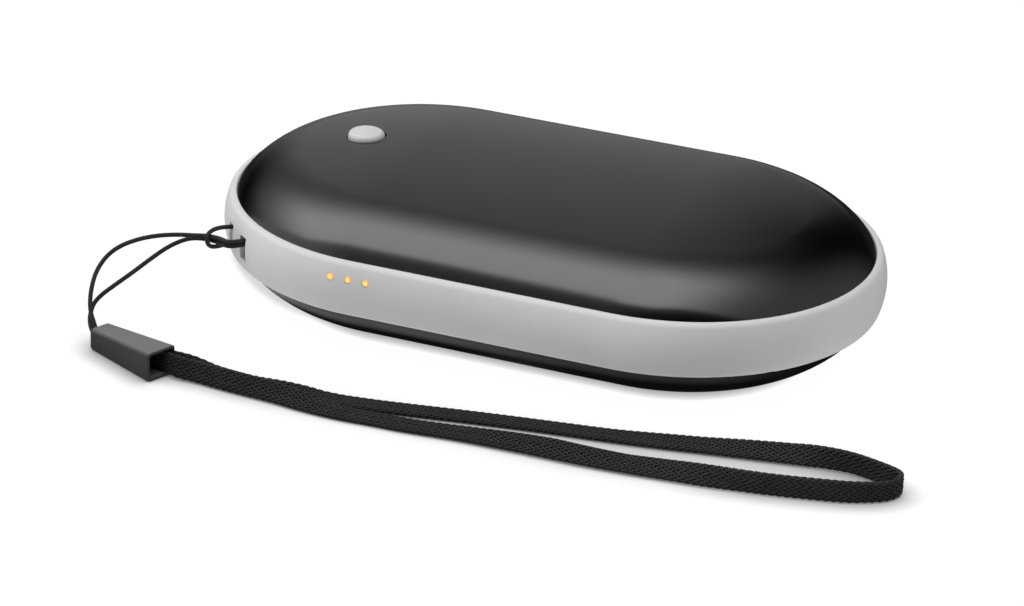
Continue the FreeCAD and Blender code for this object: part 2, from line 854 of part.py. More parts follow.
# Indicator lights: one clear guide with three rods through the band, over three lamps
guide_front = d.guide_gap - band_inner
guide_bottom = seat + d.lamp_height + d.lamp_gap
guide_top = lamp_z + d.lamp_radius + d.guide_margin
guide_length = d.lamp_pitch * 2 + d.lamp_radius * 2 + d.guide_margin * 2
guide_bar = block(
    "guide_bar",
    (guide_length, d.guide_depth, guide_top - guide_bottom),
    (-d.lamp_x - guide_length / 2, guide_front, guide_bottom),
)
guide_rods = [
    rod(
        f"guide_rod_{i}",
        d.lamp_radius,
        d.rim_radius + leg(band_radius - d.rim_radius, 0) + d.lamp_proud + guide_front + d.guide_depth / 2,
        (x, guide_front + d.guide_depth / 2, lamp_z),
        Vector(0, -1, 0),
    )
    for i, x in enumerate(lamp_places)
]
node(join("guide", [guide_bar, *guide_rods]), "light_guide")
lamps = [
    block(
        f"lamp_{i}",
        (d.lamp_length, d.lamp_width, d.lamp_height),
        (x - d.lamp_length / 2, guide_front + d.guide_depth / 2 - d.lamp_width / 2, seat),
    )
    for i, x in enumerate(lamp_places)
]
node(group("lamp_set", lamps), "indicator_lamps")
resistors = [
    block(
        f"resistor_{i}",
        (d.resistor_length, d.resistor_width, d.resistor_height),
        (x - d.resistor_length / 2, guide_front + d.guide_depth + d.resistor_gap, seat),
    )
    for i, x in enumerate(lamp_places)
]
node(group("resistor_set", resistors), "lamp_resistors")


def socket_shell(name, front, y, width, height, length, wall):
    """A folded metal shell, open towards -X."""
    outside = block(name + "_outside", (length, width, height), (front, y - width / 2, seat))
    inside = block(
        name + "_inside",
        (length - wall + d.overrun, width - wall * 2, height - wall * 2),
        (front - d.overrun, y - width / 2 + wall, seat + wall),
    )
    return cut(name, outside, inside)


def socket_tongue(name, front, y, width, height, length, wall, tongue, block_length):
    """The moulded block at the back of a socket, with the tongue that the plug slides over."""
    thickness, side_gap, lift, inset = tongue
    fit = d.tongue_fit
    back = front + length - wall - fit
    inner_width = width - wall * 2 - fit * 2
    moulding = block(
        name + "_moulding",
        (block_length, inner_width, height - wall * 2 - fit * 2),
        (back - block_length, y - inner_width / 2, seat + wall + fit),
    )
    blade_width = inner_width - side_gap * 2
    blade = block(
        name + "_blade",
        (back - front - inset, blade_width, thickness),
        (front + inset, y - blade_width / 2, seat + wall + lift),
    )
    return join(name, [moulding, blade])


# Output socket: shell, tongue and four contacts under the tongue
out_box = (out_front, d.out_y, d.out_width, d.out_height, d.out_length, d.out_wall)
out_tongue = (d.out_tongue_thickness, d.out_tongue_side_gap, d.out_tongue_lift, d.out_tongue_inset)
node(socket_shell("out_shell", *out_box), "usb_output_shell")
node(socket_tongue("out_tongue", *out_box, out_tongue, d.out_block_length), "usb_output_tongue")
contacts = [
    block(
        f"contact_{i}",
        (d.contact_length, d.contact_width, d.contact_thickness),
        (
            out_front + d.out_length - d.out_wall - d.tongue_fit - d.out_block_length - d.contact_length,
            d.out_y + d.contact_pitch * (i - 1.5) - d.contact_width / 2,
            seat + d.out_wall + d.out_tongue_lift - d.contact_thickness,
        ),
    )
    for i in range(4)
]
node(group("contact_set", contacts), "usb_output_contacts")

# Charging socket: a smaller shell and tongue
in_box = (in_front, d.in_y, d.in_width, d.in_height, d.in_length, d.in_wall)
in_tongue = (d.in_tongue_thickness, d.in_tongue_side_gap, d.in_tongue_lift, d.in_tongue_inset)
node(socket_shell("in_shell", *in_box), "usb_input_shell")
node(socket_tongue("in_tongue", *in_box, in_tongue, d.in_block_length), "usb_input_tongue")

# Parts on the board: a drum inductor, the control chip and three capacitors
inductor_x = button_x - d.inductor_back
drum = rod("drum", d.inductor_radius, d.inductor_height, (inductor_x, d.inductor_side, seat))
bore_bottom = seat + d.inductor_height / 2
bore = rod("drum_bore", d.inductor_bore, d.inductor_height, (inductor_x, d.inductor_side, bore_bottom))
node(cut("inductor_cut", drum, bore), "power_inductor")
chip_x = button_x - d.chip_length / 2
chip = block(
    "chip", (d.chip_length, d.chip_width, d.chip_height), (chip_x, -d.chip_side - d.chip_width / 2, seat)
)
node(chip, "controller_chip")
capacitors = [
    block(
        f"capacitor_{i}",
        (d.capacitor_length, d.capacitor_width, d.capacitor_height),
        (button_x - d.capacitor_length / 2, d.capacitor_side + d.capacitor_pitch * (i - 1), seat),
    )
    for i in range(3)
]
node(group("capacitor_set", capacitors), "board_capacitors")

# Battery tray: rails with troughs for two cells, end walls, and ears under the bosses
cell_y = d.cell_radius + d.cell_gap / 2
tray_left = board_right + d.board_margin
nest_left = tray_left + d.tray_wall
cell_left = nest_left + d.strip_thickness + d.cell_play
cell_right = cell_left + d.cell_length
nest_right = cell_right + d.strip_thickness + d.cell_play
tray_right = nest_right + d.tray_wall
tray_half = d.tray_half
tray_height = cell_axis - d.tray_lip - board_bottom
tray_block = block(
    "tray_block", (tray_right - tray_left, tray_half * 2, tray_height), (tray_left, -tray_half, board_bottom)
)
tray_slab = stadium_slab("tray_slab", band_inner - d.tray_clearance, board_bottom, tray_height)
ear_width = d.screw_head_radius * 2 + d.tray_ear_margin * 2
ear_length = d.tray_boss_y + d.boss_radius - tray_half + d.tray_wall
ear_root = tray_half - d.tray_wall
tray_ears = [
    block(
        f"tray_ear_{i}",
        (ear_width, ear_length, d.board_thickness),
        (x - ear_width / 2, ear_root if y.value > 0 else -ear_root - ear_length, board_bottom),
    )
    for i, (x, y) in enumerate(tray_screw_places)
]
tray_solid = join("tray_solid", [common("tray_rails", tray_block, tray_slab), *tray_ears])
X_AXIS = Vector(1, 0, 0)
troughs = [
    rod(
        f"trough_{label}",
        d.cell_radius + d.tray_fit,
        nest_right - nest_left,
        (nest_left, cell_y * side, cell_axis),
        X_AXIS,
    )
    for label, side in (("front", -1), ("rear", 1))
]
ear_holes = [
    rod(
        f"ear_hole_{i}",
        d.screw_radius + d.screw_fit,
        d.board_thickness + d.overrun * 2,
        (x, y, board_bottom - d.overrun),
    )
    for i, (x, y) in enumerate(tray_screw_places)
]
strip_room = d.strip_thickness + d.cell_play * 2
strip_slots = [
    block(
        f"strip_slot_{label}",
        (strip_room, cell_y * 2, d.strip_height),
        (x, -cell_y, cell_axis - d.strip_height / 2 - d.cell_play),
    )
    for label, x in (("left", nest_left), ("right", nest_right - strip_room))
]
node(cut("battery_tray_cut", tray_solid, join("tray_cuts", troughs + strip_slots + ear_holes)), "battery_tray")
node(screws("tray_screw_set", tray_screw_places), "tray_screws")

# Cells: cans with a raised positive nub at the left, each with an insulating ring round it
for label, side in (("front", -1), ("rear", 1)):
    y = cell_y * side
    nub = rod(f"{label}_nub", d.nub_radius, d.nub_height, (cell_left, y, cell_axis), X_AXIS)
    can = rod(
        f"{label}_can",
        d.cell_radius,
        d.cell_length - d.nub_height,
        (cell_left + d.nub_height, y, cell_axis),
        X_AXIS,
    )
    node(join(f"{label}_cell_solid", [can, nub]), f"{label}_cell")
rings = []
for label, side in (("front", -1), ("rear", 1)):
    ring_x = cell_left + d.nub_height - d.insulator_thickness
    base = (ring_x, cell_y * side, cell_axis)
    disc = rod(f"{label}_disc", d.cell_radius - d.insulator_margin, d.insulator_thickness, base, X_AXIS)
    eye = rod(f"{label}_eye", d.nub_radius + d.insulator_fit, d.insulator_thickness, base, X_AXIS)
    rings.append(cut(f"{label}_ring", disc, eye))
node(group("ring_set", rings), "cell_insulators")

# Nickel strips that join the two cells at each end
strip_bottom = cell_axis - d.strip_height / 2
strip_half = cell_y + d.strip_reach
strip_size = (d.strip_thickness, strip_half * 2, d.strip_height)
positive_strip = block("plus_strip", strip_size, (cell_left - d.strip_thickness, -strip_half, strip_bottom))
node(positive_strip, "positive_strip")
node(block("minus_strip", strip_size, (cell_right, -strip_half, strip_bottom)), "negative_strip")


def film_section(rim, way, dome):
    """Half section of a film that follows the inside of a shell's crown."""
    outer_depth = d.shell_wall + d.film_gap
    inner_depth = outer_depth + d.film_thickness
    edge = d.film_half_width
    return [
        Corner(0, rim + dome.crown_rise(as_size(0), outer_depth) * way, d.crown_radius - outer_depth, -way),
        Corner(edge, rim + dome.crown_rise(edge, outer_depth) * way),
        Corner(edge, rim + dome.crown_rise(edge, inner_depth) * way, d.crown_radius - inner_depth, way),
        Corner(0, rim + dome.crown_rise(as_size(0), inner_depth) * way),
    ]


# Heater films under each shell, with a foam pad between each film and the cells
for label, rim, way, dome in (("upper", high_rim, 1, top_dome), ("lower", low_rim, -1, bottom_dome)):
    layer = round_the_case(f"{label}_layer", film_section(rim, way, dome))
    trim = block(
        f"{label}_film_trim",
        (d.film_left + d.film_right, d.film_half_width * 2, dome.height),
        (-d.film_left, -d.film_half_width, rim if way > 0 else rim - dome.height),
    )
    node(common(f"{label}_film", layer, trim), f"{label}_heater_film")
    pad_low = cell_axis + (d.cell_radius + d.pad_gap) * way
    pad_bottom = pad_low if way > 0 else pad_low - d.pad_thickness
    foam = block(
        f"{label}_foam",
        (d.pad_length, d.pad_width, d.pad_thickness),
        (-d.pad_length / 2, -d.pad_width / 2, pad_bottom),
    )
    node(foam, f"{label}_foam_pad")

# Temperature sensor: a bead against the upper film, over the valley between the cells
upper_film_depth = d.shell_wall + d.film_gap + d.film_thickness
sensor_z = high_rim + top_dome.crown_rise(d.sensor_x - end_x, upper_film_depth) - d.sensor_radius - d.film_gap
sensor_start = (d.sensor_x - d.sensor_length, 0, sensor_z)
node(rod("sensor_bead", d.sensor_radius, d.sensor_length, sensor_start, X_AXIS), "temperature_sensor")


def rounded_path(points):
    """Straight runs joined by arcs as large as the runs allow. Returns the wire, its length and radii."""
    points = [Vector(*p) for p in points]
    edges = []
    radii = []
    previous = points[0]
    for before, corner, after in zip(points, points[1:], points[2:]):
        way_in = (corner - before).normalize()
        way_out = (after - corner).normalize()
        turn = way_in.getAngle(way_out)
        trim = ARC_SHARE * min((corner - before).Length, (after - corner).Length)
        radius = trim / math.tan(turn / 2)
        start = corner - way_in * trim
        end = corner + way_out * trim
        inward = (way_out - way_in).normalize()
        deepest = corner + inward * radius * (1 / math.cos(turn / 2) - 1)
        edges += [Part.LineSegment(previous, start).toShape(), Part.Arc(start, deepest, end).toShape()]
        radii.append(radius)
        previous = end
    edges.append(Part.LineSegment(previous, points[-1]).toShape())
    wire = Part.Wire(edges)
    return wire, wire.Length, radii


def report_cord(name, shape, section_area, length, radii):
    share = shape.Volume / (section_area * length)
    print(f"{name}: length {length:.1f}, least radius {min(radii):.2f}, volume share {share:.4f}")
    print("  radii", " ".join(f"{radius:.1f}" for radius in radii))


def tube(name, points, radius):
    """A round cord or lead along its route."""
    wire, length, radii = rounded_path(points)
    way = Vector(*points[1]) - Vector(*points[0])
    ring = Part.Wire(Part.makeCircle(radius, Vector(*points[0]), way))
    shape = wire.makePipeShell([ring], True, False)
    report_cord(name, shape, math.pi * radius ** 2, length, radii)
    return shape


def feature(label, shape):
    item = doc.addObject("Part::Feature", label + "_solid")
    item.Shape = shape
    item.Placement = FreeCAD.Placement()
    return node(item, label)


def values(*sizes):
    return tuple(as_size(size).value for size in sizes)


# Battery leads: soldered to the outer face of each strip. The positive one goes over the tray's
# wall to the board, the negative one lies slack in the valley between the cells
lead_offset = d.strip_thickness + d.battery_lead_radius + d.lead_fit
plus_x = cell_left - lead_offset
minus_x = cell_right + lead_offset
lead_start = cell_axis + d.strip_height / 2 - d.lead_lap
lead_top = cell_axis + d.strip_height / 2 + d.lead_rise
landing_x = board_right - d.battery_landing
feature("positive_lead", tube("positive_lead", [
    values(plus_x, d.positive_lead_y, lead_start),
    values(plus_x, d.positive_lead_y, lead_top),
    values(landing_x, d.positive_lead_y, lead_top),
    values(landing_x, d.positive_lead_y, seat),
], d.battery_lead_radius.value))
valley_shares = (0.9, 0.72, 0.46, 0.22, 0.06)
slack_shares = (0, 1, -1, 1, 0)
valley = [
    values(cell_left + d.cell_length * along, d.lead_slack * aside, lead_top)
    for along, aside in zip(valley_shares, slack_shares)
]
feature("negative_lead", tube("negative_lead", [
    values(minus_x, 0, lead_start),
    values(minus_x, 0, lead_top),
    *valley,
    values(landing_x, -d.negative_lead_y, lead_top),
    values(landing_x, -d.negative_lead_y, seat),
], d.battery_lead_radius.value))

# Heater leads: two from each film, down or up to the board
for label, rim, way, dome, board_face in (
    ("upper", high_rim, 1, top_dome, seat),
    ("lower", low_rim, -1, bottom_dome, board_bottom),
):
    pair = []
    for i in (0, 1):
        lead_y = (d.heater_lead_y + d.heater_lead_pitch * i) * way
        start_x = -d.film_left + d.heater_lead_start
        start_r = root((start_x + end_x) * (start_x + end_x) + lead_y * lead_y)
        film_z = rim + dome.crown_rise(start_r, upper_film_depth) * way
        start_z = film_z - (d.heater_lead_radius + d.lead_fit) * way
        pair.append(tube(f"{label}_heater_lead_{i}", [
            values(start_x, lead_y, start_z),
            values(board_right - d.heater_landing, lead_y, start_z - d.heater_lead_radius * way),
            values(board_right - d.heater_landing, lead_y, board_face),
        ], d.heater_lead_radius.value))
    feature(f"{label}_heater_leads", Part.makeCompound(pair))

# Lanyard clip: a tapered sleeve lying on the surface, open at the strap's end
clip_body = doc.addObject("PartDesign::Body", "clip_moulding")


def clip_end(name, width, height, offset):
    corner = d.clip_corner
    half = width / 2
    return outline(clip_body, name, "YZ_Plane", [
        Corner(-half, 0),
        Corner(half, 0),
        Corner(half, height - corner, corner, 1),
        Corner(half - corner, height),
        Corner(corner - half, height, corner, 1),
        Corner(-half, height - corner),
    ], offset)


clip_tail = clip_end("clip_tail", d.clip_tail_width, d.clip_tail_height, 0)
clip_mouth = clip_end("clip_mouth", d.clip_mouth_width, d.clip_mouth_height, d.clip_length)
sleeve = clip_body.newObject("PartDesign::AdditiveLoft", "clip_sleeve")
sleeve.Profile = clip_tail
sleeve.Sections = [clip_mouth]
sleeve.Ruled = True
clip_pocket = block(
    "clip_pocket",
    (
        d.clip_pocket_depth + d.overrun,
        d.clip_mouth_width - d.clip_wall * 2,
        d.clip_mouth_height - d.clip_wall * 2,
    ),
    (d.clip_length - d.clip_pocket_depth, d.clip_wall - d.clip_mouth_width / 2, d.clip_wall),
)
clip = cut("clip_cut", clip_body, clip_pocket)
clip.Placement.Rotation = FreeCAD.Rotation(UP, -d.clip_turn.value)
bind(clip, "Placement.Rotation.Angle", -d.clip_turn)
place(clip, d.clip_x, d.clip_y, 0)
node(clip, "lanyard_clip")

# Thin lanyard cord, hitched round the bar
feature("lanyard_cord", tube("lanyard_cord", LANYARD_CORD_ROUTE, d.cord_radius.value))

# Wrist strap: a flat braid standing on its edge
strap_wire, strap_length, strap_radii = rounded_path(WRIST_STRAP_ROUTE)
strap_start = Vector(*WRIST_STRAP_ROUTE[0])
strap_way = (Vector(*WRIST_STRAP_ROUTE[1]) - strap_start).normalize()
strap_side = UP.cross(strap_way).normalize() * (d.strap_thickness.value / 2)
strap_rise = UP * (d.strap_width.value / 2)
strap_section = Part.makePolygon([
    strap_start + strap_side + strap_rise,
    strap_start - strap_side + strap_rise,
    strap_start - strap_side - strap_rise,
    strap_start + strap_side - strap_rise,
    strap_start + strap_side + strap_rise,
])
strap_sweep = Part.BRepOffsetAPI.MakePipeShell(strap_wire)
strap_sweep.setBiNormalMode(UP)
strap_sweep.add(strap_section)
strap_sweep.build()
strap_sweep.makeSolid()
strap_area = d.strap_width.value * d.strap_thickness.value
report_cord("wrist_strap", strap_sweep.shape(), strap_area, strap_length, strap_radii)
feature("wrist_strap", strap_sweep.shape())

# Build, test and write every piece
doc.recompute()
for item in doc.Objects:
    if "Invalid" in item.State or "Error" in item.State:
        raise RuntimeError(f"{item.Label} failed: {item.State}")
for item in nodes:
    if item.Shape.isNull() or not item.Shape.isValid() or not item.Shape.Solids:
        raise RuntimeError(f"{item.Label} has no valid solid")
os.makedirs("parts", exist_ok=True)
for item in nodes:
    item.Shape.exportStep(f"parts/{item.Label}.step")
print(len(nodes), "pieces written")
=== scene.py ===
from math import cos, pi, radians, sin

import bmesh
import bpy
import numpy as np
from mathutils import Matrix, Vector


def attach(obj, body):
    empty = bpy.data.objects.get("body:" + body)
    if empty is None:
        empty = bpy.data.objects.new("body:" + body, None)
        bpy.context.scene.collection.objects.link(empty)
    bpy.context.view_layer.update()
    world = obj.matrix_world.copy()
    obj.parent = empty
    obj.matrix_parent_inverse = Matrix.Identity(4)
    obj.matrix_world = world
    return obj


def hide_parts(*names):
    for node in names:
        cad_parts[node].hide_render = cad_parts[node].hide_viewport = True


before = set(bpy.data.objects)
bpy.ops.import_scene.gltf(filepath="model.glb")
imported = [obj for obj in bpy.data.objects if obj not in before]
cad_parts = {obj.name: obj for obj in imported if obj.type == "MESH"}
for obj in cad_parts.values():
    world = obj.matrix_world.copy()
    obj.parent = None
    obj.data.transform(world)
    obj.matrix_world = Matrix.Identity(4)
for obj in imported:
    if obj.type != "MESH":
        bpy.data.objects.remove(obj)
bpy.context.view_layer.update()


# Two lithium cells.
# Deep-drawn steel cans in a blue shrink sleeve, which puckers where it turns over the ends.
# They lie side by side in the tray's troughs, held by the nickel strips welded across their ends.

class Shade:
    """One socket of a shader. Arithmetic on it adds Math nodes, and node() adds any other node."""

    def __init__(self, tree, socket=None):
        self.tree = tree
        self.socket = socket

    def node(self, kind, settings=None, sockets=None, out=0):
        made = self.tree.nodes.new("ShaderNode" + kind)
        for name, value in (settings or {}).items():
            setattr(made, name, value)
        for name, value in (sockets or {}).items():
            self.feed(made, name, value)
        return Shade(self.tree, made.outputs[out])

    def feed(self, node, name, value):
        if isinstance(value, Shade):
            self.tree.links.new(value.socket, node.inputs[name])
        else:
            node.inputs[name].default_value = value

    def maths(self, operation, *values):
        return self.node("Math", {"operation": operation}, dict(enumerate(values)))

    def __add__(self, other):
        return self.maths("ADD", self, other)

    def __radd__(self, other):
        return self.maths("ADD", other, self)

    def __sub__(self, other):
        return self.maths("SUBTRACT", self, other)

    def __rsub__(self, other):
        return self.maths("SUBTRACT", other, self)

    def __mul__(self, other):
        return self.maths("MULTIPLY", self, other)

    def __rmul__(self, other):
        return self.maths("MULTIPLY", other, self)

    def __truediv__(self, other):
        return self.maths("DIVIDE", self, other)

    def __pow__(self, other):
        return self.maths("POWER", self, other)

    def size(self):
        """This without its sign."""
        return self.maths("ABSOLUTE", self)

    def above(self, least):
        """This, or the least that it may be."""
        return self.maths("MAXIMUM", self, least)

    def bell(self):
        """1 at 0, with a soft fall on both sides."""
        return self.maths("EXPONENT", self * self * -1.0)

    def step(self, start, end):
        """0 below start, 1 above end and smooth between them."""
        settings = {"interpolation_type": "SMOOTHSTEP"}
        return self.node("MapRange", settings, {"Value": self, "From Min": start, "From Max": end})

    def mix(self, first, second):
        """The first colour where this is 0 and the second where it is 1."""
        colours = [c if isinstance(c, Shade) else (*c, 1) for c in (first, second)]
        return self.node("Mix", {"data_type": "RGBA"}, {0: self, 6: colours[0], 7: colours[1]}, out=2)

    def axis(self, name):
        """The X, Y or Z of this vector."""
        return self.node("SeparateXYZ", None, {0: self}, name)

    def noise(self, scale, detail=2.0, stretch=(1, 1, 1)):
        """Noise over this position; stretch draws it out along an axis where it is small."""
        spread = self.node("VectorMath", {"operation": "MULTIPLY"}, {0: self, 1: stretch})
        return self.node("TexNoise", None, {"Vector": spread, "Scale": scale, "Detail": detail})

    def bump(self, distance, strength=1.0):
        """A bumpy surface's normal, with this as its height."""
        return self.node("Bump", None, {"Height": self, "Distance": distance, "Strength": strength})


def material(name, **constants):
    """A material with its Principled node's fixed values, its object position and a way to feed it."""
    made = bpy.data.materials.new(name)
    made.use_nodes = True
    tree = made.node_tree
    shader = next(n for n in tree.nodes if n.type == "BSDF_PRINCIPLED")
    start = Shade(tree)

    def feed(**values):
        for key, value in values.items():
            start.feed(shader, key.replace("_", " "), value)

    feed(**constants)
    return made, start.node("TexCoord", None, None, "Object"), feed


def grained(name, dark, light, *, roughness, scale, bump, stretch=(1, 1, 1), **constants):
    """A finish with a grain in its colour, its gloss and its surface."""
    made, place, feed = material(name, **constants)
    grain = place.noise(scale, 4.0, stretch)
    patches = place.noise(scale / 9, 2.0, stretch)
    feed(
        Base_Color=(grain * 0.6 + patches * 0.4).step(0.3, 0.7).mix(dark, light),
        Roughness=roughness - 0.06 + patches * 0.12,
        Normal=grain.bump(bump),
    )
    return made


def dress(finish, *names):
    """Gives CAD nodes a finish."""
    for name in names:
        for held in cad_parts[name].material_slots:
            held.material = finish


cell_middle, sleeve_half, sleeve_turn = 0.00625, 0.0322, 0.0006
sleeve_blue, bare_can = (0.02, 0.16, 0.42), (0.62, 0.62, 0.6)
sleeve, place, feed = material("cell_sleeve", IOR=1.5, Coat_Weight=0.25, Coat_Roughness=0.12)
past = (place.axis("X") - cell_middle).size().step(sleeve_half - sleeve_turn, sleeve_half)
puckers = place.noise(1400, 2.0, (0.12, 1, 1))
feed(
    Base_Color=past.mix(sleeve_blue, bare_can),
    Metallic=past,
    Roughness=0.26 + puckers * 0.14,
    Normal=puckers.bump(0.00004, 0.5),
)
dress(sleeve, "front_cell", "rear_cell")


# Cell insulators.
# Two rings punched from white fish paper, with a soft fibre in them.
# Each is stuck over a cell's positive end, round its nub.

paper = grained(
    "fish_paper", (0.66, 0.65, 0.6), (0.8, 0.79, 0.75), roughness=0.85, scale=2500, bump=0.00002
)
dress(paper, "cell_insulators")


# Nickel strips.
# Thin strip, slit from a rolled coil, so the grain runs along it.
# Spot welded across both cells to join them side by side.

nickel = grained(
    "rolled_nickel", (0.5, 0.48, 0.44), (0.66, 0.63, 0.58),
    roughness=0.3, scale=1500, bump=0.000006, stretch=(1, 0.05, 1), Metallic=1.0,
)
dress(nickel, "positive_strip", "negative_strip")


# Battery tray.
# Grey moulding with two troughs for the cells, matt from a spark-eroded tool.
# Screwed down on four bosses of the band.

tray = grained(
    "tray_moulding", (0.13, 0.135, 0.14), (0.18, 0.185, 0.19), roughness=0.6, scale=3200, bump=0.00002
)
dress(tray, "battery_tray")


# Screws of the tray and the board.
# Pan-head steel screws with a bright zinc finish, turned, so the rings of the tool show on the heads.
# They cut their own thread in the bosses.

zinc = grained(
    "zinc_screw", (0.5, 0.5, 0.52), (0.72, 0.72, 0.74),
    roughness=0.28, scale=5000, bump=0.000008, stretch=(1, 1, 0.2), Metallic=1.0,
)
dress(zinc, "tray_screws", "board_screws")


# Circuit board.
# Fibreglass laminate under green solder resist, with the copper tracks as faint raised lines.
# A D-shaped plate in the left end with an arm to the lights, held by two screws.

bare_green, track_green = (0.004, 0.055, 0.02), (0.02, 0.16, 0.05)
board, place, feed = material("solder_resist", IOR=1.5, Coat_Weight=0.3, Coat_Roughness=0.2)
runs = place.node(
    "TexVoronoi",
    {"feature": "DISTANCE_TO_EDGE"},
    {"Vector": place, "Scale": 330.0, "Randomness": 0.55},
)
track = 1 - runs.step(0.04, 0.07)
weave = place.noise(2400, 3.0)
feed(
    Base_Color=(track * 0.8 + weave * 0.2).mix(bare_green, track_green),
    Roughness=0.3 + weave * 0.2,
    Normal=(track + weave * 0.2).bump(0.00002),
)
dress(board, "circuit_board")


# Push switch.
# A black moulded well, a stamped cover plate over it and a black plunger with a collar.
# Soldered to the board under the button; the plunger carries the button and the spring lifts it.

black_moulding = grained(
    "black_moulding", (0.012, 0.012, 0.013), (0.03, 0.03, 0.031), roughness=0.5, scale=3000, bump=0.000015
)
dress(black_moulding, "switch_housing", "switch_plunger")
plate = grained(
    "plated_steel", (0.55, 0.55, 0.54), (0.74, 0.74, 0.72),
    roughness=0.3, scale=1800, bump=0.000006, stretch=(0.06, 1, 1), Metallic=1.0,
)
dress(plate, "switch_cover")


# Output and charging sockets.
# Stamped and folded steel shells, plated, with black tongues; the output's contacts are gilt.
# Soldered to the board with their mouths in the band's left end.

dress(plate, "usb_output_shell", "usb_input_shell")
dress(black_moulding, "usb_output_tongue", "usb_input_tongue")
gilt = grained(
    "gilt_contacts", (0.62, 0.4, 0.12), (0.86, 0.6, 0.22),
    roughness=0.25, scale=2600, bump=0.000004, Metallic=1.0,
)
dress(gilt, "usb_output_contacts")


# Lamps and their resistors.
# Three side-shining lamps in yellow resin and three chip resistors with a ceramic body.
# Soldered on the board's arm, under the light guide; the board's capacitors have the same body.

lamp, place, feed = material("lamp_resin", Roughness=0.35, Emission_Strength=0.6)
haze = place.noise(2600, 2.0)
feed(
    Base_Color=haze.mix((0.9, 0.62, 0.12), (1.0, 0.78, 0.3)),
    Emission_Color=haze.mix((1.0, 0.55, 0.05), (1.0, 0.7, 0.15)),
)
dress(lamp, "indicator_lamps")
ceramic = grained(
    "chip_ceramic", (0.32, 0.22, 0.14), (0.5, 0.38, 0.26), roughness=0.55, scale=3600, bump=0.00001
)
dress(ceramic, "lamp_resistors", "board_capacitors")


# Inductor and controller.
# A pressed ferrite drum with a bore and a chip in a black epoxy body, both with a fine grain.
# Soldered flat on the board.

ferrite = grained(
    "pressed_ferrite", (0.03, 0.03, 0.032), (0.075, 0.075, 0.08), roughness=0.7, scale=4200, bump=0.00003
)
dress(ferrite, "power_inductor")
epoxy = grained(
    "chip_epoxy", (0.014, 0.014, 0.015), (0.03, 0.03, 0.03), roughness=0.55, scale=5200, bump=0.00001
)
dress(epoxy, "controller_chip")


# Leads.
# Fine stranded wire in soft silicone, red and black for the cells and white for the heaters.
# Soldered to the strips, the films and the board.

for colour, dark, light, names in (
    ("red", (0.42, 0.012, 0.01), (0.58, 0.03, 0.02), ("positive_lead",)),
    ("black", (0.01, 0.01, 0.01), (0.03, 0.03, 0.03), ("negative_lead",)),
    ("white", (0.68, 0.67, 0.64), (0.8, 0.79, 0.76), ("upper_heater_leads", "lower_heater_leads")),
):
    silicone = grained(f"silicone_{colour}", dark, light, roughness=0.48, scale=2200, bump=0.000012)
    dress(silicone, *names)


# Heater films and the temperature sensor.
# Etched tracks between two amber polyimide films, stuck to the inside of each shell.
# The sensor is a glass bead stuck to the upper film.

amber_film, dull_track, bright_track = (0.5, 0.2, 0.03), (0.36, 0.3, 0.22), (0.46, 0.38, 0.28)
film, place, feed = material("heater_film", IOR=1.6, Coat_Weight=0.4, Coat_Roughness=0.15)
rows = place.node(
    "TexWave", {"bands_direction": "Y"}, {"Vector": place, "Scale": 170.0, "Distortion": 0.0}
)
track = rows.step(0.35, 0.5)
cloud = place.noise(700, 2.0)
feed(
    Base_Color=track.mix(amber_film, cloud.mix(dull_track, bright_track)),
    Roughness=0.22 + cloud * 0.16,
    Normal=track.bump(0.00003),
)
dress(film, "upper_heater_film", "lower_heater_film")
glass = grained(
    "sensor_glass", (0.02, 0.02, 0.024), (0.07, 0.06, 0.05), roughness=0.2, scale=2600, bump=0.000006
)
dress(glass, "temperature_sensor")


# Foam pads.
# Open-cell foam cut from a sheet; its pores show as pits.
# They press the films against the shells from the cells.

foam, place, feed = material("open_foam", Roughness=0.95)
pores = place.node("TexVoronoi", None, {"Vector": place, "Scale": 1500.0})
feed(
    Base_Color=pores.step(0.1, 0.6).mix((0.05, 0.05, 0.052), (0.16, 0.16, 0.165)),
    Normal=pores.bump(0.0001),
)
dress(foam, "upper_foam_pad", "lower_foam_pad")


# Bond rings.
# A thin bead of clear grey adhesive, milky where it is thick.
# It fixes the skirt of each shell in the band.

adhesive = grained(
    "adhesive_bead", (0.3, 0.3, 0.31), (0.42, 0.42, 0.42), roughness=0.4, scale=1600, bump=0.00002
)
dress(adhesive, "upper_bond_ring", "lower_bond_ring")


# Side band.
# Light grey moulding with a barrel-shaped wall and a softly rounded edge along each shell.
# Its left end carries the lanyard bar between two holes, and the two shells are bonded into it.

case_half = 0.0205


def read_all(items, what, width, kind=float):
    """One value of every vertex, face or corner, in rows of a width."""
    values = np.empty(len(items) * width, kind)
    items.foreach_get(what, values)
    return values.reshape(-1, width)


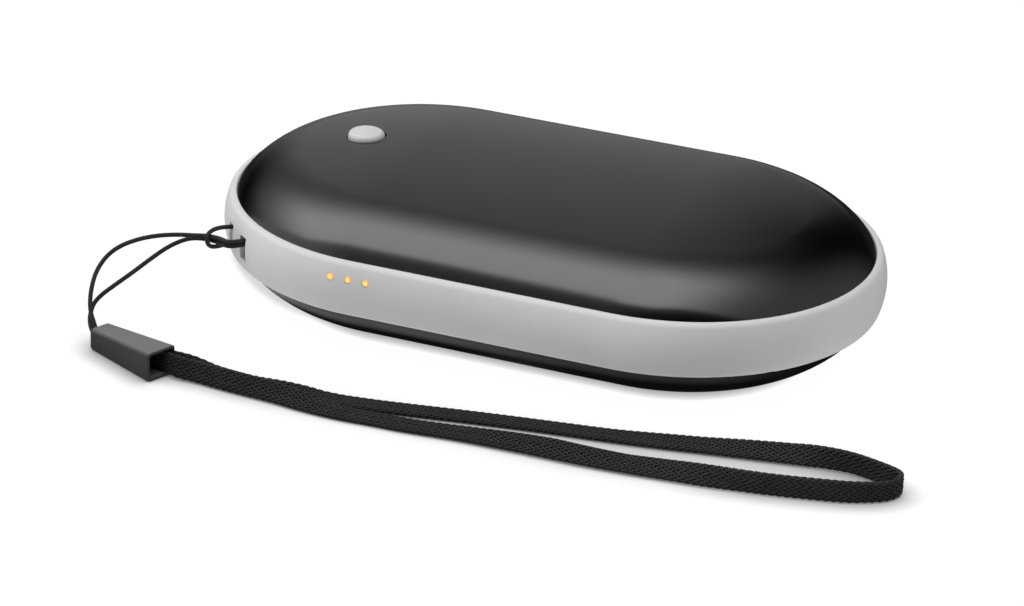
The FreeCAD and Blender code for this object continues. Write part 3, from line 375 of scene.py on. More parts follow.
def smoothed(node, name, rounds, finish):
    """Stands for a CAD node: its own shape, with the exact slope of its rounds in the shading.

    Each round is an arc swept round the case: centre radius, centre height, arc radius.
    """
    weld, crease, on_arc, same_way = 1e-7, radians(28), 0.00003, 0.97
    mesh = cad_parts[node].data.copy()
    work = bmesh.new()
    work.from_mesh(mesh)
    bmesh.ops.remove_doubles(work, verts=work.verts, dist=weld)
    work.to_mesh(mesh)
    work.free()
    mesh.shade_smooth()
    mesh.set_sharp_from_angle(angle=crease)
    at = read_all(mesh.vertices, "co", 3)[read_all(mesh.loops, "vertex_index", 1, int)[:, 0]]
    sides = read_all(mesh.polygons, "loop_total", 1, int)[:, 0]
    facing = np.repeat(read_all(mesh.polygons, "normal", 3), sides, axis=0)
    normals = read_all(mesh.corner_normals, "vector", 3)
    reach = at[:, :2] - np.stack([np.clip(at[:, 0], -case_half, case_half), 0 * at[:, 1]], 1)
    radius = np.hypot(*reach.T)
    outward = reach / np.maximum(radius, 1e-9)[:, None]
    for middle, height, arc in rounds:
        away, up = radius - middle, at[:, 2] - height
        exact = np.column_stack([outward * away[:, None], up]) / arc
        near = np.abs(np.hypot(away, up) - arc) < on_arc
        chosen = near & ((exact * facing).sum(1) > same_way)
        normals[chosen] = exact[chosen]
    mesh.normals_split_custom_set(normals.tolist())
    mesh.materials.clear()
    mesh.materials.append(finish)
    piece = bpy.data.objects.new(name, mesh)
    bpy.context.collection.objects.link(piece)
    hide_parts(node)
    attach(piece, "case")


def from_case_axis(east, north):
    """The distance from the straight line that the case's outline is drawn round."""
    return ((east.size() - case_half).above(0.0) ** 2.0 + north ** 2.0) ** 0.5


band_middle, band_edge, band_barrel, band_radius = 0.0121725, 0.0033, 0.010376, 0.020974
edge_round, edge_radius = 0.001, 0.02975
darker_grey, lighter_grey, hole_shade = (0.657, 0.647, 0.651), (0.698, 0.687, 0.692), (0.1, 0.098, 0.099)
wall_face, hole_depth = 0.031, 0.0013
band_finish, place, feed = material("band_moulding", IOR=1.48, Specular_IOR_Level=0.2)
grain = place.noise(5200, 3.0)
flow = place.noise(90, 2.0)
east, north, up = (place.axis(name) for name in "XYZ")
# Painted shade: the moulding turns dark grey deeper inside the lanyard holes, where the light does not
# reach.
sunk = (wall_face - from_case_axis(east, north)).step(0.0, hole_depth)
hole_rows = 1 - (up - band_middle).size().step(0.0024, 0.0028)
hole_corner = (1 - east.step(-0.036, -0.034)) * (1 - north.step(-0.014, -0.012))
moulded = (grain * 0.5 + flow * 0.5).step(0.3, 0.7).mix(darker_grey, lighter_grey)
feed(
    Base_Color=(sunk * hole_rows * hole_corner).mix(moulded, hole_shade),
    Roughness=0.38 + grain * 0.14,
    Normal=grain.bump(0.000008, 0.6),
)
band_rounds = (
    (band_radius, band_middle, band_barrel),
    (edge_radius, band_middle + band_edge, edge_round),
    (edge_radius, band_middle - band_edge, edge_round),
)
smoothed("side_band", "band", band_rounds, band_finish)


# Light guide.
# Clear amber acrylic: a bar over the lamps with three turned rods through the front of the band.
# The rods end in low domes, and the light of the lamps fills them.

first_rod, rod_pitch, rod_count, rod_radius, rod_sides = -0.02305, 0.00285, 3, 0.00057, 32
rod_z, rod_back, rod_front, rod_dome = 0.01407, -0.0270, -0.03112, 0.00018
bar_low, bar_high = Vector((-0.02422, -0.02698, 0.01032)), Vector((-0.01618, -0.0258, 0.01524))
lens_crease = radians(40)


def add_object(name, verts, faces, finish):
    """A smooth mesh object of one finish."""
    mesh = bpy.data.meshes.new(name)
    mesh.from_pydata([tuple(v) for v in verts], [], [tuple(f) for f in faces])
    mesh.validate()
    mesh.shade_smooth()
    mesh.materials.append(finish)
    made = bpy.data.objects.new(name, mesh)
    bpy.context.collection.objects.link(made)
    return made


def turned(profile, sides):
    """A closed turning about Z. The profile is (radius, height) from the top's middle to the bottom's."""
    rings = [(r, h) for r, h in profile if r > 0]
    angles = [2 * pi * k / sides for k in range(sides)]
    verts = [(r * cos(a), r * sin(a), h) for r, h in rings for a in angles]
    faces = []
    for i in range(len(rings) - 1):
        for k in range(sides):
            n = (k + 1) % sides
            faces.append((i * sides + n, i * sides + k, (i + 1) * sides + k, (i + 1) * sides + n))
    top, bottom = len(verts), len(verts) + 1
    verts += [(0, 0, profile[0][1]), (0, 0, profile[-1][1])]
    last = (len(rings) - 1) * sides
    for k in range(sides):
        n = (k + 1) % sides
        faces += [(top, k, n), (bottom, last + n, last + k)]
    return np.array(verts), faces


glow_x, glow_z = first_rod + 0.00007, rod_z + 0.00004
heart_yellow, ring_orange, rim_dim = (0.98, 0.84, 0.16), (1.0, 0.46, 0.22), (0.22, 0.12, 0.1)
amber, place, feed = material("amber_acrylic", Roughness=0.2, IOR=1.49, Emission_Strength=0.85)
aside = (place.axis("X") - glow_x) / rod_pitch + 0.5
aside = aside.maths("FRACT", aside) - 0.5
from_heart = ((aside * rod_pitch) ** 2.0 + (place.axis("Z") - glow_z) ** 2.0) ** 0.5
reach = from_heart / rod_radius * 0.9 + place.noise(3000, 2.0) * 0.2
ring, rim = reach.step(0.42, 0.78), reach.step(0.74, 1.02)
feed(
    Base_Color=rim.mix((0.3, 0.2, 0.05), (0.46, 0.4, 0.38)),
    Emission_Color=rim.mix(ring.mix(heart_yellow, ring_orange), rim_dim),
)
rod_length = rod_front - rod_back
dome = [(rod_radius * sin(a), rod_dome * cos(a)) for a in np.linspace(0, pi / 2, 9)]
profile = [(0.0, dome[0][1]), *dome[1:], (rod_radius, rod_length), (0.0, rod_length)]
verts, faces = turned(profile, rod_sides)
guide = add_object("guide_lenses", [(u, rod_front - h, rod_z + v) for u, v, h in verts], faces, amber)

row = bpy.data.node_groups.new("row_of_rods", "GeometryNodeTree")
wanted = {
    "Geometry": ("Geometry", None),
    "First": ("Float", first_rod),
    "Pitch": ("Float", rod_pitch),
    "Count": ("Int", rod_count),
    "Finish": ("Material", amber),
}
inputs = {
    name: row.interface.new_socket(name, in_out="INPUT", socket_type="NodeSocket" + kind)
    for name, (kind, value) in wanted.items()
}
row.interface.new_socket("Geometry", in_out="OUTPUT", socket_type="NodeSocketGeometry")
given, start, step, places, rods, real, dressed, result = (
    row.nodes.new(kind)
    for kind in (
        "NodeGroupInput", "ShaderNodeCombineXYZ", "ShaderNodeCombineXYZ", "GeometryNodeMeshLine",
        "GeometryNodeInstanceOnPoints", "GeometryNodeRealizeInstances", "GeometryNodeSetMaterial",
        "NodeGroupOutput",
    )
)
for source, end in (
    (given.outputs["First"], start.inputs["X"]),
    (given.outputs["Pitch"], step.inputs["X"]),
    (given.outputs["Count"], places.inputs["Count"]),
    (start.outputs[0], places.inputs["Start Location"]),
    (step.outputs[0], places.inputs["Offset"]),
    (places.outputs[0], rods.inputs["Points"]),
    (given.outputs["Geometry"], rods.inputs["Instance"]),
    (rods.outputs[0], real.inputs[0]),
    (real.outputs[0], dressed.inputs["Geometry"]),
    (given.outputs["Finish"], dressed.inputs["Material"]),
    (dressed.outputs[0], result.inputs[0]),
):
    row.links.new(source, end)
repeat = guide.modifiers.new("row", "NODES")
repeat.node_group = row
for name, (kind, value) in wanted.items():
    if value is not None:
        repeat[inputs[name].identifier] = value
mesh = bpy.data.meshes.new_from_object(guide.evaluated_get(bpy.context.evaluated_depsgraph_get()))
guide.modifiers.remove(repeat)
work = bmesh.new()
work.from_mesh(mesh)
bar = Matrix.LocRotScale((bar_low + bar_high) / 2, None, bar_high - bar_low)
bmesh.ops.create_cube(work, size=1.0, matrix=bar)
work.to_mesh(mesh)
work.free()
mesh.set_sharp_from_angle(angle=lens_crease)
guide.data = mesh
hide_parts("light_guide")
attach(guide, "case")


# Top shell.
# Aluminium pressed to a dome with a rolled shoulder and sprayed with a black satin lacquer.
# Its skirt is bonded into the band, and a round hole lets the button through.

high_rim, dome_round, shoulder_round = 0.0164725, 0.14, 0.015
lacquer, place, feed = material("black_lacquer", IOR=1.65)
mist = place.noise(2600, 3.0)
cloud = place.noise(60, 2.0)
feed(
    Base_Color=cloud.mix((0.0008, 0.0008, 0.00085), (0.0014, 0.0014, 0.00145)),
    Roughness=0.14 + mist * 0.03 + cloud * 0.02,
    Normal=mist.bump(0.000002, 0.3),
)
top_rounds = ((0.0, high_rim - 0.1324128, dome_round), (0.0172127, high_rim - 0.0086036, shoulder_round))
smoothed("top_shell", "upper_cover", top_rounds, lacquer)


# Bottom shell.
# The same pressing without a hole, with a flat land under it for the case to stand on.
# Sprayed with the same lacquer and bonded into the band from below.

low_rim = 0.0078725
bottom_rounds = ((0.0, low_rim + 0.1318175, dome_round), (0.0167793, low_rim + 0.0079488, shoulder_round))
smoothed("bottom_shell", "lower_cover", bottom_rounds, lacquer)


# Button cap.
# Pale grey moulding with a low crown and a rounded edge, smooth from a polished tool.
# It stands in the hole of the top shell on the switch's plunger, and its flange stops it from inside.

button_x, button_y, button_top, button_crown = -0.0312, -0.0001, 0.0247, 0.00016
button_radius, button_edge, button_sides, button_crease = 0.00286, 0.0009, 72, radians(40)
flange_radius, flange_top, button_foot = 0.0037, 0.02072, 0.01992
cap_finish, place, feed = material("button_moulding", IOR=1.48)
grain = place.noise(4200, 3.0)
feed(
    Base_Color=grain.step(0.3, 0.7).mix((0.632, 0.616, 0.62), (0.672, 0.656, 0.66)),
    Roughness=0.34 + grain * 0.12,
    Normal=grain.bump(0.000006, 0.5),
)
flat = button_radius - button_edge
crown_foot = button_top - button_crown
profile = [(r, button_top - button_crown * (r / flat) ** 2) for r in np.linspace(0, flat, 9)]
profile += [
    (flat + button_edge * sin(a), crown_foot - button_edge * (1 - cos(a)))
    for a in np.linspace(0.25, pi / 2, 9)
]
profile += [
    (button_radius, flange_top), (flange_radius, flange_top),
    (flange_radius, button_foot), (0.0, button_foot),
]
verts, faces = turned(profile, button_sides)
button = add_object("button_pad", verts + np.array((button_x, button_y, 0)), faces, cap_finish)
button.data.set_sharp_from_angle(angle=button_crease)
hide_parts("button_cap")
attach(button, "button")


# Lanyard cord.
# Eight fine polyester strands laid up with a long lay into a thin, smooth black cord.
# It runs from the clip up to the band, round the lanyard bar in a cow hitch, and back to the clip.

cord_route = (
    (-0.05580, -0.04100, 0.00190), (-0.05660, -0.04085, 0.00220), (-0.05750, -0.04010, 0.00320),
    (-0.05844, -0.03935, 0.00450), (-0.05893, -0.03850, 0.00590), (-0.05930, -0.03736, 0.00729),
    (-0.05948, -0.03562, 0.00920), (-0.05895, -0.03326, 0.01100), (-0.05760, -0.03121, 0.01220),
    (-0.05547, -0.02901, 0.01290), (-0.05318, -0.02707, 0.01315), (-0.05079, -0.02539, 0.01310),
    (-0.04866, -0.02430, 0.01295), (-0.04700, -0.02365, 0.01300), (-0.04460, -0.02390, 0.01315),
    (-0.04250, -0.02510, 0.01330), (-0.04100, -0.02400, 0.01342), (-0.04005, -0.02305, 0.01350),
    (-0.04005, -0.02125, 0.01350), (-0.04190, -0.01935, 0.01350), (-0.04375, -0.01925, 0.01350),
    (-0.04500, -0.02050, 0.01360), (-0.04555, -0.02170, 0.01385), (-0.04605, -0.02325, 0.01400),
    (-0.04638, -0.02454, 0.01360), (-0.04636, -0.02457, 0.01220), (-0.04602, -0.02385, 0.01140),
    (-0.04545, -0.02240, 0.01105), (-0.04480, -0.02040, 0.01090), (-0.04375, -0.01925, 0.01090),
    (-0.04190, -0.01935, 0.01120), (-0.04005, -0.02125, 0.01200), (-0.04005, -0.02305, 0.01280),
    (-0.04100, -0.02405, 0.01276), (-0.04260, -0.02500, 0.01255), (-0.04480, -0.02375, 0.01235),
    (-0.04720, -0.02320, 0.01225), (-0.04905, -0.02353, 0.01215), (-0.05057, -0.02403, 0.01175),
    (-0.05257, -0.02536, 0.01070), (-0.05428, -0.02782, 0.00930), (-0.05586, -0.03056, 0.00786),
    (-0.05736, -0.03340, 0.00666), (-0.05850, -0.03585, 0.00570), (-0.05895, -0.03730, 0.00485),
    (-0.05885, -0.03840, 0.00400), (-0.05858, -0.03935, 0.00320), (-0.05795, -0.04025, 0.00235),
    (-0.05705, -0.04095, 0.00170), (-0.05600, -0.04140, 0.00140),
)
cord_diameter, cord_step = 0.0007, 0.00016
strand_count, strand_radius, strand_out, strand_sides, lay_length = 8, 0.00012, 0.00023, 6, 0.005


def spline_points(name, route):
    """The points of a smooth spline along a route."""
    curve = bpy.data.curves.new(name, "CURVE")
    curve.dimensions = "3D"
    curve.resolution_u = 24
    spline = curve.splines.new("NURBS")
    spline.points.add(len(route) - 1)
    for point, place in zip(spline.points, route):
        point.co = (*place, 1)
    spline.order_u = 3
    spline.use_endpoint_u = True
    holder = bpy.data.objects.new(name, curve)
    mesh = bpy.data.meshes.new_from_object(holder)
    points = np.array([v.co[:] for v in mesh.vertices])
    bpy.data.objects.remove(holder)
    bpy.data.curves.remove(curve)
    bpy.data.meshes.remove(mesh)
    return points


def unit(vectors):
    """The same directions with a length of 1."""
    return vectors / np.linalg.norm(vectors, axis=-1, keepdims=True)


def length_so_far(points):
    """How far along their line each of the points is."""
    return np.concatenate([[0], np.cumsum(np.linalg.norm(np.diff(points, axis=0), axis=1))])


def even(points, step, *others):
    """The points again at even steps along their line, and other values that go with them."""
    gone = length_so_far(points)
    at = np.linspace(0, gone[-1], int(gone[-1] / step) + 1)
    line = np.column_stack([np.interp(at, gone, axis) for axis in points.T])
    return at, line, *(np.interp(at, gone, other) for other in others)


def tube(centres, out, half_width, half_depth, sides):
    """A closed tube of oval section; out is the way its depth faces. Also gives its own coordinates."""
    travel = unit(np.gradient(centres, axis=0))
    across = unit(np.cross(out, travel))
    out = np.cross(travel, across)
    angles = np.arange(sides) * 2 * pi / sides
    ring = (
        centres[:, None]
        + across[:, None] * (half_width * np.cos(angles))[None, :, None]
        + out[:, None] * (half_depth * np.sin(angles))[None, :, None]
    )
    count = len(centres)
    start = np.arange(count - 1)[:, None] * sides
    k = np.arange(sides)
    n = (k + 1) % sides
    quads = np.stack([start + k, start + n, start + sides + n, start + sides + k], -1).reshape(-1, 4)
    faces = [*quads.tolist(), list(range(sides))[::-1], list(range((count - 1) * sides, count * sides))]
    gone = length_so_far(centres)
    own = np.stack(np.broadcast_arrays(gone[:, None], angles / (2 * pi)), -1).reshape(-1, 2)
    return ring.reshape(-1, 3), faces, own


def bundle(name, tubes, finish):
    """One object of several tubes, with their own coordinates kept for the fibres' shading."""
    verts, faces, own = [], [], []
    for v, f, o in tubes:
        faces += [[i + len(verts) for i in face] for face in f]
        verts += v.tolist()
        own += o.tolist()
    made = add_object(name, verts, faces, finish)
    lengths = made.data.attributes.new("fibre", "FLOAT_VECTOR", "POINT")
    lengths.data.foreach_set("vector", np.column_stack([own, np.zeros(len(own))]).astype(np.float32).ravel())
    return made


def fibrous(name, dark, light, *, fibres, painted_lift=0.0):
    """Yarn of fine filaments: streaks along it, a little fuzz, and painted light that makes it paler to the
    right.
    """
    made, place, feed = material(name, Sheen_Weight=0.06, Sheen_Roughness=0.5, IOR=1.4)
    own = place.node("Attribute", {"attribute_name": "fibre"}, None, "Vector")
    streaks = own.noise(1.0, 3.0, (900.0, fibres, 1.0))
    patches = place.noise(700, 2.0)
    tone = (streaks * 0.65 + patches * 0.35).step(0.25, 0.75)
    painted_light_east = place.axis("X").step(0.0, 0.05)
    feed(
        Base_Color=(tone * (1 - painted_lift) + painted_light_east * painted_lift).mix(dark, light),
        Roughness=0.6 + streaks * 0.25,
        Normal=streaks.bump(0.00004, 0.8),
    )
    return made


gone, line = even(spline_points("cord_line", cord_route), cord_step)
travel = unit(np.gradient(line, axis=0))
side = [unit(np.cross(travel[0], (0.0, 0.0, 1.0)) + 1e-6)]
for t in travel[1:]:
    side.append(unit(side[-1] - t * (side[-1] @ t)))
side = np.array(side)
other = np.cross(travel, side)
strands = []
for k in range(strand_count):
    turn = 2 * pi * (gone / lay_length + k / strand_count)
    out = side * np.cos(turn)[:, None] + other * np.sin(turn)[:, None]
    strands.append(tube(line + out * strand_out, out, strand_radius, strand_radius, strand_sides))
cord_finish = fibrous("cord_polyester", (0.011, 0.011, 0.0112), (0.038, 0.038, 0.0385), fibres=26.0)
cord = bundle("hitched_cord", strands, cord_finish)
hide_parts("lanyard_cord")
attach(cord, "case")


# Lanyard clip.
# A tapered sleeve moulded in dark plastic, with rounded edges and a thin wall round its open mouth.
# The thin cord is held in its tail, and both ends of the strap are fixed in its pocket.

clip_tail, clip_axis = np.array((-0.05625, -0.0414)), unit(np.array((0.921, -0.389)))
clip_side = np.array((-clip_axis[1], clip_axis[0]))
clip_length, clip_wall, clip_pocket = 0.0145, 0.00055, 0.0036
tail_size, mouth_size = np.array((0.0036, 0.0034)), np.array((0.0053, 0.0046))
tail_back, mouth_back = 0.00032, 0.00022
tail_edge, clip_lip, clip_corner, pocket_corner = 0.0004, clip_wall / 2, 0.0005, 0.0003
clip_crease = radians(50)


def rounded_ring(width, height, corner, steps=6):
    """A rectangle with rounded corners, standing on height 0."""
    ring = []
    for quarter, (sx, sz) in enumerate(((1, 1), (-1, 1), (-1, -1), (1, -1))):
        for a in np.linspace(0, pi / 2, steps) + quarter * pi / 2:
            x = sx * (width / 2 - corner) + corner * cos(a)
            z = height / 2 + sz * (height / 2 - corner) + corner * sin(a)
            ring.append((x, z))
    return np.array(ring)


def clip_ring(along, shrink, corner):
    """A ring of the sleeve, drawn in from the outer face by shrink."""
    part = along / clip_length
    width, height = tail_size + (mouth_size - tail_size) * part
    ring = rounded_ring(width - 2 * shrink, height - 2 * shrink, corner)
    set_back = tail_back + (mouth_back - tail_back) * part
    flat = clip_tail + clip_axis * along + (ring[:, :1] + set_back) * clip_side
    return np.column_stack([flat, ring[:, 1] + shrink])


rings = [
    clip_ring(tail_edge * (1 - cos(a)), tail_edge * (1 - sin(a)), clip_corner)
    for a in np.linspace(0, pi / 2, 6)
]
rings += [clip_ring(clip_length * part, 0.0, clip_corner) for part in np.linspace(0.1, 0.96, 12)]
for a in np.linspace(0, pi, 9):
    corner = clip_corner - (clip_corner - pocket_corner) * a / pi
    rings.append(clip_ring(clip_length - clip_lip * (1 - sin(a)), clip_lip * (1 - cos(a)), corner))
rings += [clip_ring(clip_length - depth, clip_wall, pocket_corner) for depth in (0.001, 0.002, clip_pocket)]
count = len(rings[0])
verts = np.concatenate(rings)
faces = [list(range(count))[::-1], list(range(len(verts) - count, len(verts)))]
for i in range(len(rings) - 1):
    for k in range(count):
        n = (k + 1) % count
        faces.append((i * count + k, i * count + n, (i + 1) * count + n, (i + 1) * count + k))
side_dark, side_light = (0.04, 0.04, 0.04), (0.05, 0.05, 0.05)
painted_top_dark, painted_top_light = (0.14, 0.143, 0.14), (0.16, 0.163, 0.16)
clip_finish, place, feed = material("clip_moulding", IOR=1.6)
grain = place.noise(3600, 3.0)
cloud = place.noise(260, 2.0)
# Painted light: faces that look up get a much paler colour, standing in for the overhead light on the top.
painted_top_mask = place.node("NewGeometry", None, None, "Normal").axis("Z").step(0.85, 0.99)
tone = (grain * 0.5 + cloud * 0.5).step(0.3, 0.7)
feed(
    Base_Color=painted_top_mask.mix(tone.mix(side_dark, side_light), tone.mix(painted_top_dark, painted_top_light)),
    Roughness=0.4 + grain * 0.12,
    Normal=grain.bump(0.00001, 0.6),
)
clip = add_object("clip_sleeve", verts, faces, clip_finish)
clip.data.set_sharp_from_angle(angle=clip_crease)
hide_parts("lanyard_clip")
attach(clip, "case")


# Wrist strap.
# A flat tubular braid of twenty-four charcoal polyester yarns, twelve each way, round a flat core.
# One long loop with both ends fixed in the clip; each station is a point and its lean in degrees.

strap_stations = (
    (-0.04545, -0.04475, 0.00220, 0), (-0.04245, -0.04588, 0.00220, 4),
    (-0.04030, -0.04610, 0.00185, 18), (-0.03840, -0.04575, 0.00165, 24),
    (-0.03630, -0.04585, 0.00156, 25), (-0.03210, -0.04627, 0.00154, 27),
    (-0.02810, -0.04642, 0.00148, 33), (-0.02410, -0.04645, 0.00130, 46),
    (-0.02000, -0.04677, 0.00100, 62), (-0.01600, -0.04690, 0.00068, 76),
    (-0.01230, -0.04683, 0.00055, 82), (-0.00870, -0.04650, 0.00055, 82),
    (-0.00490, -0.04645, 0.00056, 82), (-0.00130, -0.04610, 0.00060, 82),
    (0.00250, -0.04570, 0.00068, 80), (0.00700, -0.04545, 0.00085, 73),
    (0.01410, -0.04545, 0.00119, 58), (0.01870, -0.04560, 0.00137, 48),
    (0.02320, -0.04540, 0.00125, 55), (0.02950, -0.04485, 0.00110, 62),
    (0.03640, -0.04433, 0.00133, 50), (0.04100, -0.04430, 0.00158, 28),
    (0.04600, -0.04375, 0.00165, 14), (0.05100, -0.04295, 0.00165, 10),
    (0.05850, -0.04115, 0.00165, 10), (0.06150, -0.04020, 0.00163, 6), (0.06390, -0.03905, 0.00163, 2),
    (0.06610, -0.03760, 0.00163, 0), (0.06715, -0.03560, 0.00163, 0), (0.06690, -0.03375, 0.00163, 0),
    (0.06460, -0.03280, 0.00163, -4), (0.06200, -0.03205, 0.00163, -6),
    (0.05860, -0.03125, 0.00165, -8), (0.05420, -0.03145, 0.00164, -20),
    (0.04990, -0.03175, 0.00133, -48), (0.04580, -0.03240, 0.00121, -57),
    (0.04150, -0.03310, 0.00104, -65), (0.03730, -0.03380, 0.00085, -73),
    (0.03300, -0.03470, 0.00078, -76), (0.02440, -0.03620, 0.00055, -85),
    (0.01400, -0.03760, 0.00046, -87), (0.00400, -0.03940, 0.00046, -87),
    (-0.00600, -0.04142, 0.00046, -87), (-0.01100, -0.04240, 0.00046, -87),
    (-0.01600, -0.04310, 0.00050, -88), (-0.01850, -0.04350, 0.00062, -84),
    (-0.02150, -0.04395, 0.00085, -72), (-0.02500, -0.04450, 0.00100, -64),
    (-0.02850, -0.04500, 0.00100, -62), (-0.03200, -0.04480, 0.00100, -62),
    (-0.03600, -0.04430, 0.00105, -60), (-0.03850, -0.04420, 0.00140, -42),
    (-0.04030, -0.04460, 0.00180, -20), (-0.04210, -0.04505, 0.00215, -4),
    (-0.04510, -0.04390, 0.00220, 0),
)
strap_exit, strap_width, strap_step, strap_lift = (-0.0421, -0.0451, 0.0022), 0.0032, 0.00036, 0.0001
strap_half, strap_thick, strap_pitch = 0.0015, 0.00022, 0.0132
yarn_count, yarn_half, yarn_deep, yarn_rise, yarn_sides = 12, 0.00019, 0.00012, 0.00007, 6
core_half, core_deep, core_sides = 0.00142, 0.0001, 8
edge_turn, face_flat = 0.97, 3.2

line = spline_points("strap_line", [s[:3] for s in strap_stations])
spans = len(strap_stations) - 2
knots = [0.0, *(np.arange(spans) + 0.5), float(spans)]
lean = np.interp(np.linspace(0, spans, len(line)), knots, [s[3] for s in strap_stations])
gone, line, lean = even(line, strap_step, lean)
lean = np.radians(lean)[:, None]
travel = unit(np.gradient(line, axis=0))
level = unit(np.cross((0.0, 0.0, 1.0), travel))
across = np.cos(lean) * np.cross(travel, level) + np.sin(lean) * level
line = line + (0.0, 0.0, strap_lift) * np.cos(lean)
face = np.cross(travel, across)
yarns = []
for way in (1, -1):
    for k in range(yarn_count):
        turn = way * 2 * pi * gone / strap_pitch + 2 * pi * k / yarn_count
        u = strap_half * np.arcsin(edge_turn * np.cos(turn)) / np.arcsin(edge_turn)
        v = strap_thick * np.tanh(face_flat * np.sin(turn)) / np.tanh(face_flat)
        du = -strap_half * edge_turn * np.sin(turn) / np.sqrt(1 - (edge_turn * np.cos(turn)) ** 2)
        dv = face_flat * strap_thick * np.cos(turn) / np.cosh(face_flat * np.sin(turn)) ** 2
        slope = unit(np.column_stack([dv, -du]))
        out = across * slope[:, :1] + face * slope[:, 1:]
        rise = way * yarn_rise * np.cos(yarn_count / 2 * turn + pi / 4)
        centre = line + across * u[:, None] + face * v[:, None] + out * rise[:, None]
        yarns.append(tube(centre, out, yarn_half, yarn_deep, yarn_sides))
yarns.append(tube(line, face, core_half, core_deep, core_sides))
# The strap's right part is painted paler, as painted light for the side that catches less of the lamps.
strap_finish = fibrous(
    "strap_polyester", (0.0034, 0.0034, 0.0035), (0.026, 0.026, 0.0265), fibres=34.0, painted_lift=0.38
)
strap = bundle("braided_strap", yarns, strap_finish)
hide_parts("wrist_strap")
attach(strap, "case")


# Table.
# White by its own light, with painted shade close to the lanyard and the case, painted shade inside the
# loop, and a painted shadow at the case's left end.
# Gloss shows it nearly black, but for a part behind the left end and a strip under the front.

table_half, table_z = 6.0, -0.00002
white, shade_black, reflected_black = (1.0, 1.0, 1.0), (0.02, 0.02, 0.02), (0.003, 0.003, 0.003)
lanyard_reach, case_reach, case_margin, margin_blur = 0.0038, 0.0015, 0.032, 0.002
loop_middle, loop_half, loop_slope, loop_offset = 0.045, 0.0053, 0.115, 0.0429
loop_taper, bend_start, bend_taper, loop_depth = 1.2, 0.058, 60, 0.34
cast_middle, cast_offset, cast_slope, cast_curve, cast_depth = -0.0465, -0.0535, 0.95, 28, 0.32
rear_middle, rear_slope, rear_light, under_light = -0.03, 0.9, 0.2, 0.4

card, place, feed = material("table_white", Roughness=0.9, Specular_IOR_Level=0.1, Emission_Strength=1.0)
tooth = place.noise(120, 2.0)
east, north = place.axis("X"), place.axis("Y")
soft, tight = (
    place.node("AmbientOcclusion", {"samples": 8}, {"Distance": reach}, "AO")
    for reach in (lanyard_reach, case_reach)
)
outside = from_case_axis(east, north)
clear = outside.step(case_margin - margin_blur, case_margin + margin_blur)
near = clear * soft ** 1.5 + (1 - clear) * tight * (0.98 + 0.02 * soft)

# Painted shade on the floor between the strap's legs.
astray = (north + loop_offset - loop_slope * east).size()
bend = (east - bend_start).above(0.0)
inside = loop_half - loop_taper * (east - loop_middle) ** 2.0 - bend_taper * bend ** 2.0 - astray
painted_loop_shade = inside.step(-0.0004, 0.0006)

# A painted shadow on the floor along the case's left end.
gap = cast_offset + cast_curve * (east - cast_middle) ** 2.0 - (north + cast_slope * east)
left_end = east.step(-0.0565, -0.0495) * (1 - east.step(-0.033, -0.024))
painted_left_shadow = gap.step(-0.012, -0.006) * (1 - gap.step(-0.001, 0.0015)) * left_end
shown = (near * (1 - loop_depth * painted_loop_shade) * (1 - cast_depth * painted_left_shadow)).mix(shade_black, white)

inward = east - rear_middle
rear = ((north + inward * rear_slope) / (inward.size() + north.size())).step(0.0, 0.3)
rear = rear * (1 - east.step(-0.03, 0.015))
under = (1 - clear) * (outside - 0.0013 * east.step(0.0, 0.03)).step(0.0237, 0.0275)
under = under * (1 - 0.55 * east.step(-0.016, 0.018) - 0.45 * east.step(0.034, 0.048))
reflected = (rear_light * rear + under_light * under).mix(reflected_black, white)
feed(
    Base_Color=tooth.mix((0.004, 0.004, 0.004), (0.006, 0.006, 0.006)),
    Emission_Color=place.node("LightPath", None, None, "Is Glossy Ray").mix(shown, reflected),
)
corners = [(x * table_half, y * table_half, table_z) for x, y in ((-1, -1), (1, -1), (1, 1), (-1, 1))]
table = add_object("table", corners, [(0, 1, 2, 3)], card)


# Studio lights.
# A soft box overhead, which fades to the rear and to both sides, and dimmer panels on the left and right.
# Its front edge dips in the middle and sweeps back on the left; in front of it is only a low glow.

box_light, left_light, right_light, front_light = 3.24, 0.5, 0.52, 0.88
box_front, box_edge_blur, box_dip, box_sweep, sweep_start = -0.54, 0.045, 0.12, 0.42, 1.1
slit_height, slit_width, slit_gain, slit_depth = 0.5, 0.12, 0.7, 1.6


def fade(past, width):
    """1 up to 0, then a soft fall over a width."""
    return (past.above(0.0) / width).bell()


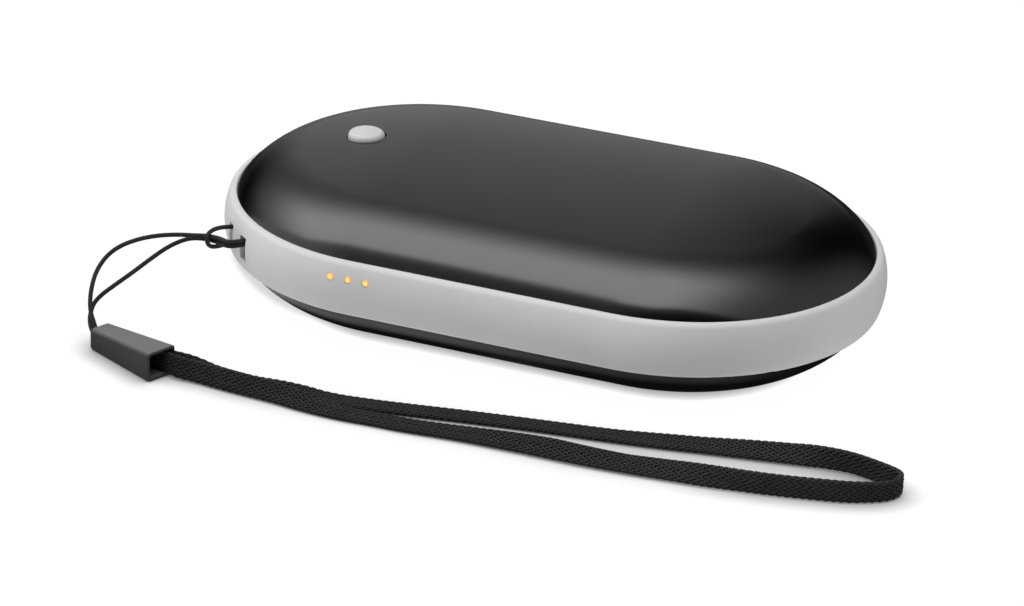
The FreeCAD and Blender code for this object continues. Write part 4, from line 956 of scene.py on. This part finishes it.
world = bpy.data.worlds.new("studio")
bpy.context.scene.world = world
world.use_nodes = True
heading = Shade(world.node_tree).node("TexCoord", None, None, "Generated")
east, north, up = (heading.axis(name) for name in "XYZ")
overhead = box_light * fade(north + 0.07, 0.385) * fade(east + 0.02, 0.424) * fade(-0.656 - east, 0.225)
overhead = overhead * up.step(0.1, 0.4)

swing = (east.maths("ARCTAN2", east * -1.0, north) - (0.40 + 0.2 * up)) / (0.21 + 0.2 * up)
slit = ((up - slit_height) / slit_width).bell()
left_panel = left_light * swing.bell() * (1 - 0.5 * up.step(0.45, 0.8))
left_panel = left_panel * (1 + east.step(-0.24, -0.08) * (slit_gain - slit_depth * slit))
right_panel = right_light * (1 - fade(east - 0.24, 0.38))
front_glow = front_light * fade(east + 0.85, 0.48)

height = up.above(0.02)
slant = east / height
dip = slant.step(-0.42, -0.35) * (1 - slant.step(-0.1, 0.3))
swept = (slant * -1.0 - sweep_start).above(0.0)
behind_edge = (north / height + box_dip * dip - box_sweep * swept).step(box_front, box_front + box_edge_blur)
studio = behind_edge * (overhead + left_panel + right_panel) + (1 - behind_edge) * front_glow
heading.feed(world.node_tree.nodes["Background"], "Color", (0.98, 1.0, 1.003, 1))
heading.feed(world.node_tree.nodes["Background"], "Strength", studio)


# Camera.
# A long lens on a stand in front of the table and to the right, looking down on the case.
# It is turned a little about its own line of sight.

eye, target = Vector((0.20085, -0.5331, 0.26024)), Vector((0.00307, -0.02384, 0.01217))
roll, focal_length, film_width = radians(2.30), 143.47, 36.0
back = (eye - target).normalized()
level = Vector((0, 0, 1)).cross(back).normalized()
upright = back.cross(level)
right = level * cos(roll) + upright * sin(roll)
upward = upright * cos(roll) - level * sin(roll)
lens = bpy.data.cameras.new("camera")
lens.lens, lens.sensor_width = focal_length, film_width
lens.clip_start, lens.clip_end = 0.05, 20.0
camera = bpy.data.objects.new("camera", lens)
camera.matrix_world = Matrix.Translation(eye) @ Matrix((right, upward, back)).transposed().to_4x4()
bpy.context.collection.objects.link(camera)
bpy.context.scene.camera = camera
bpy.context.scene.view_settings.view_transform = "Standard"
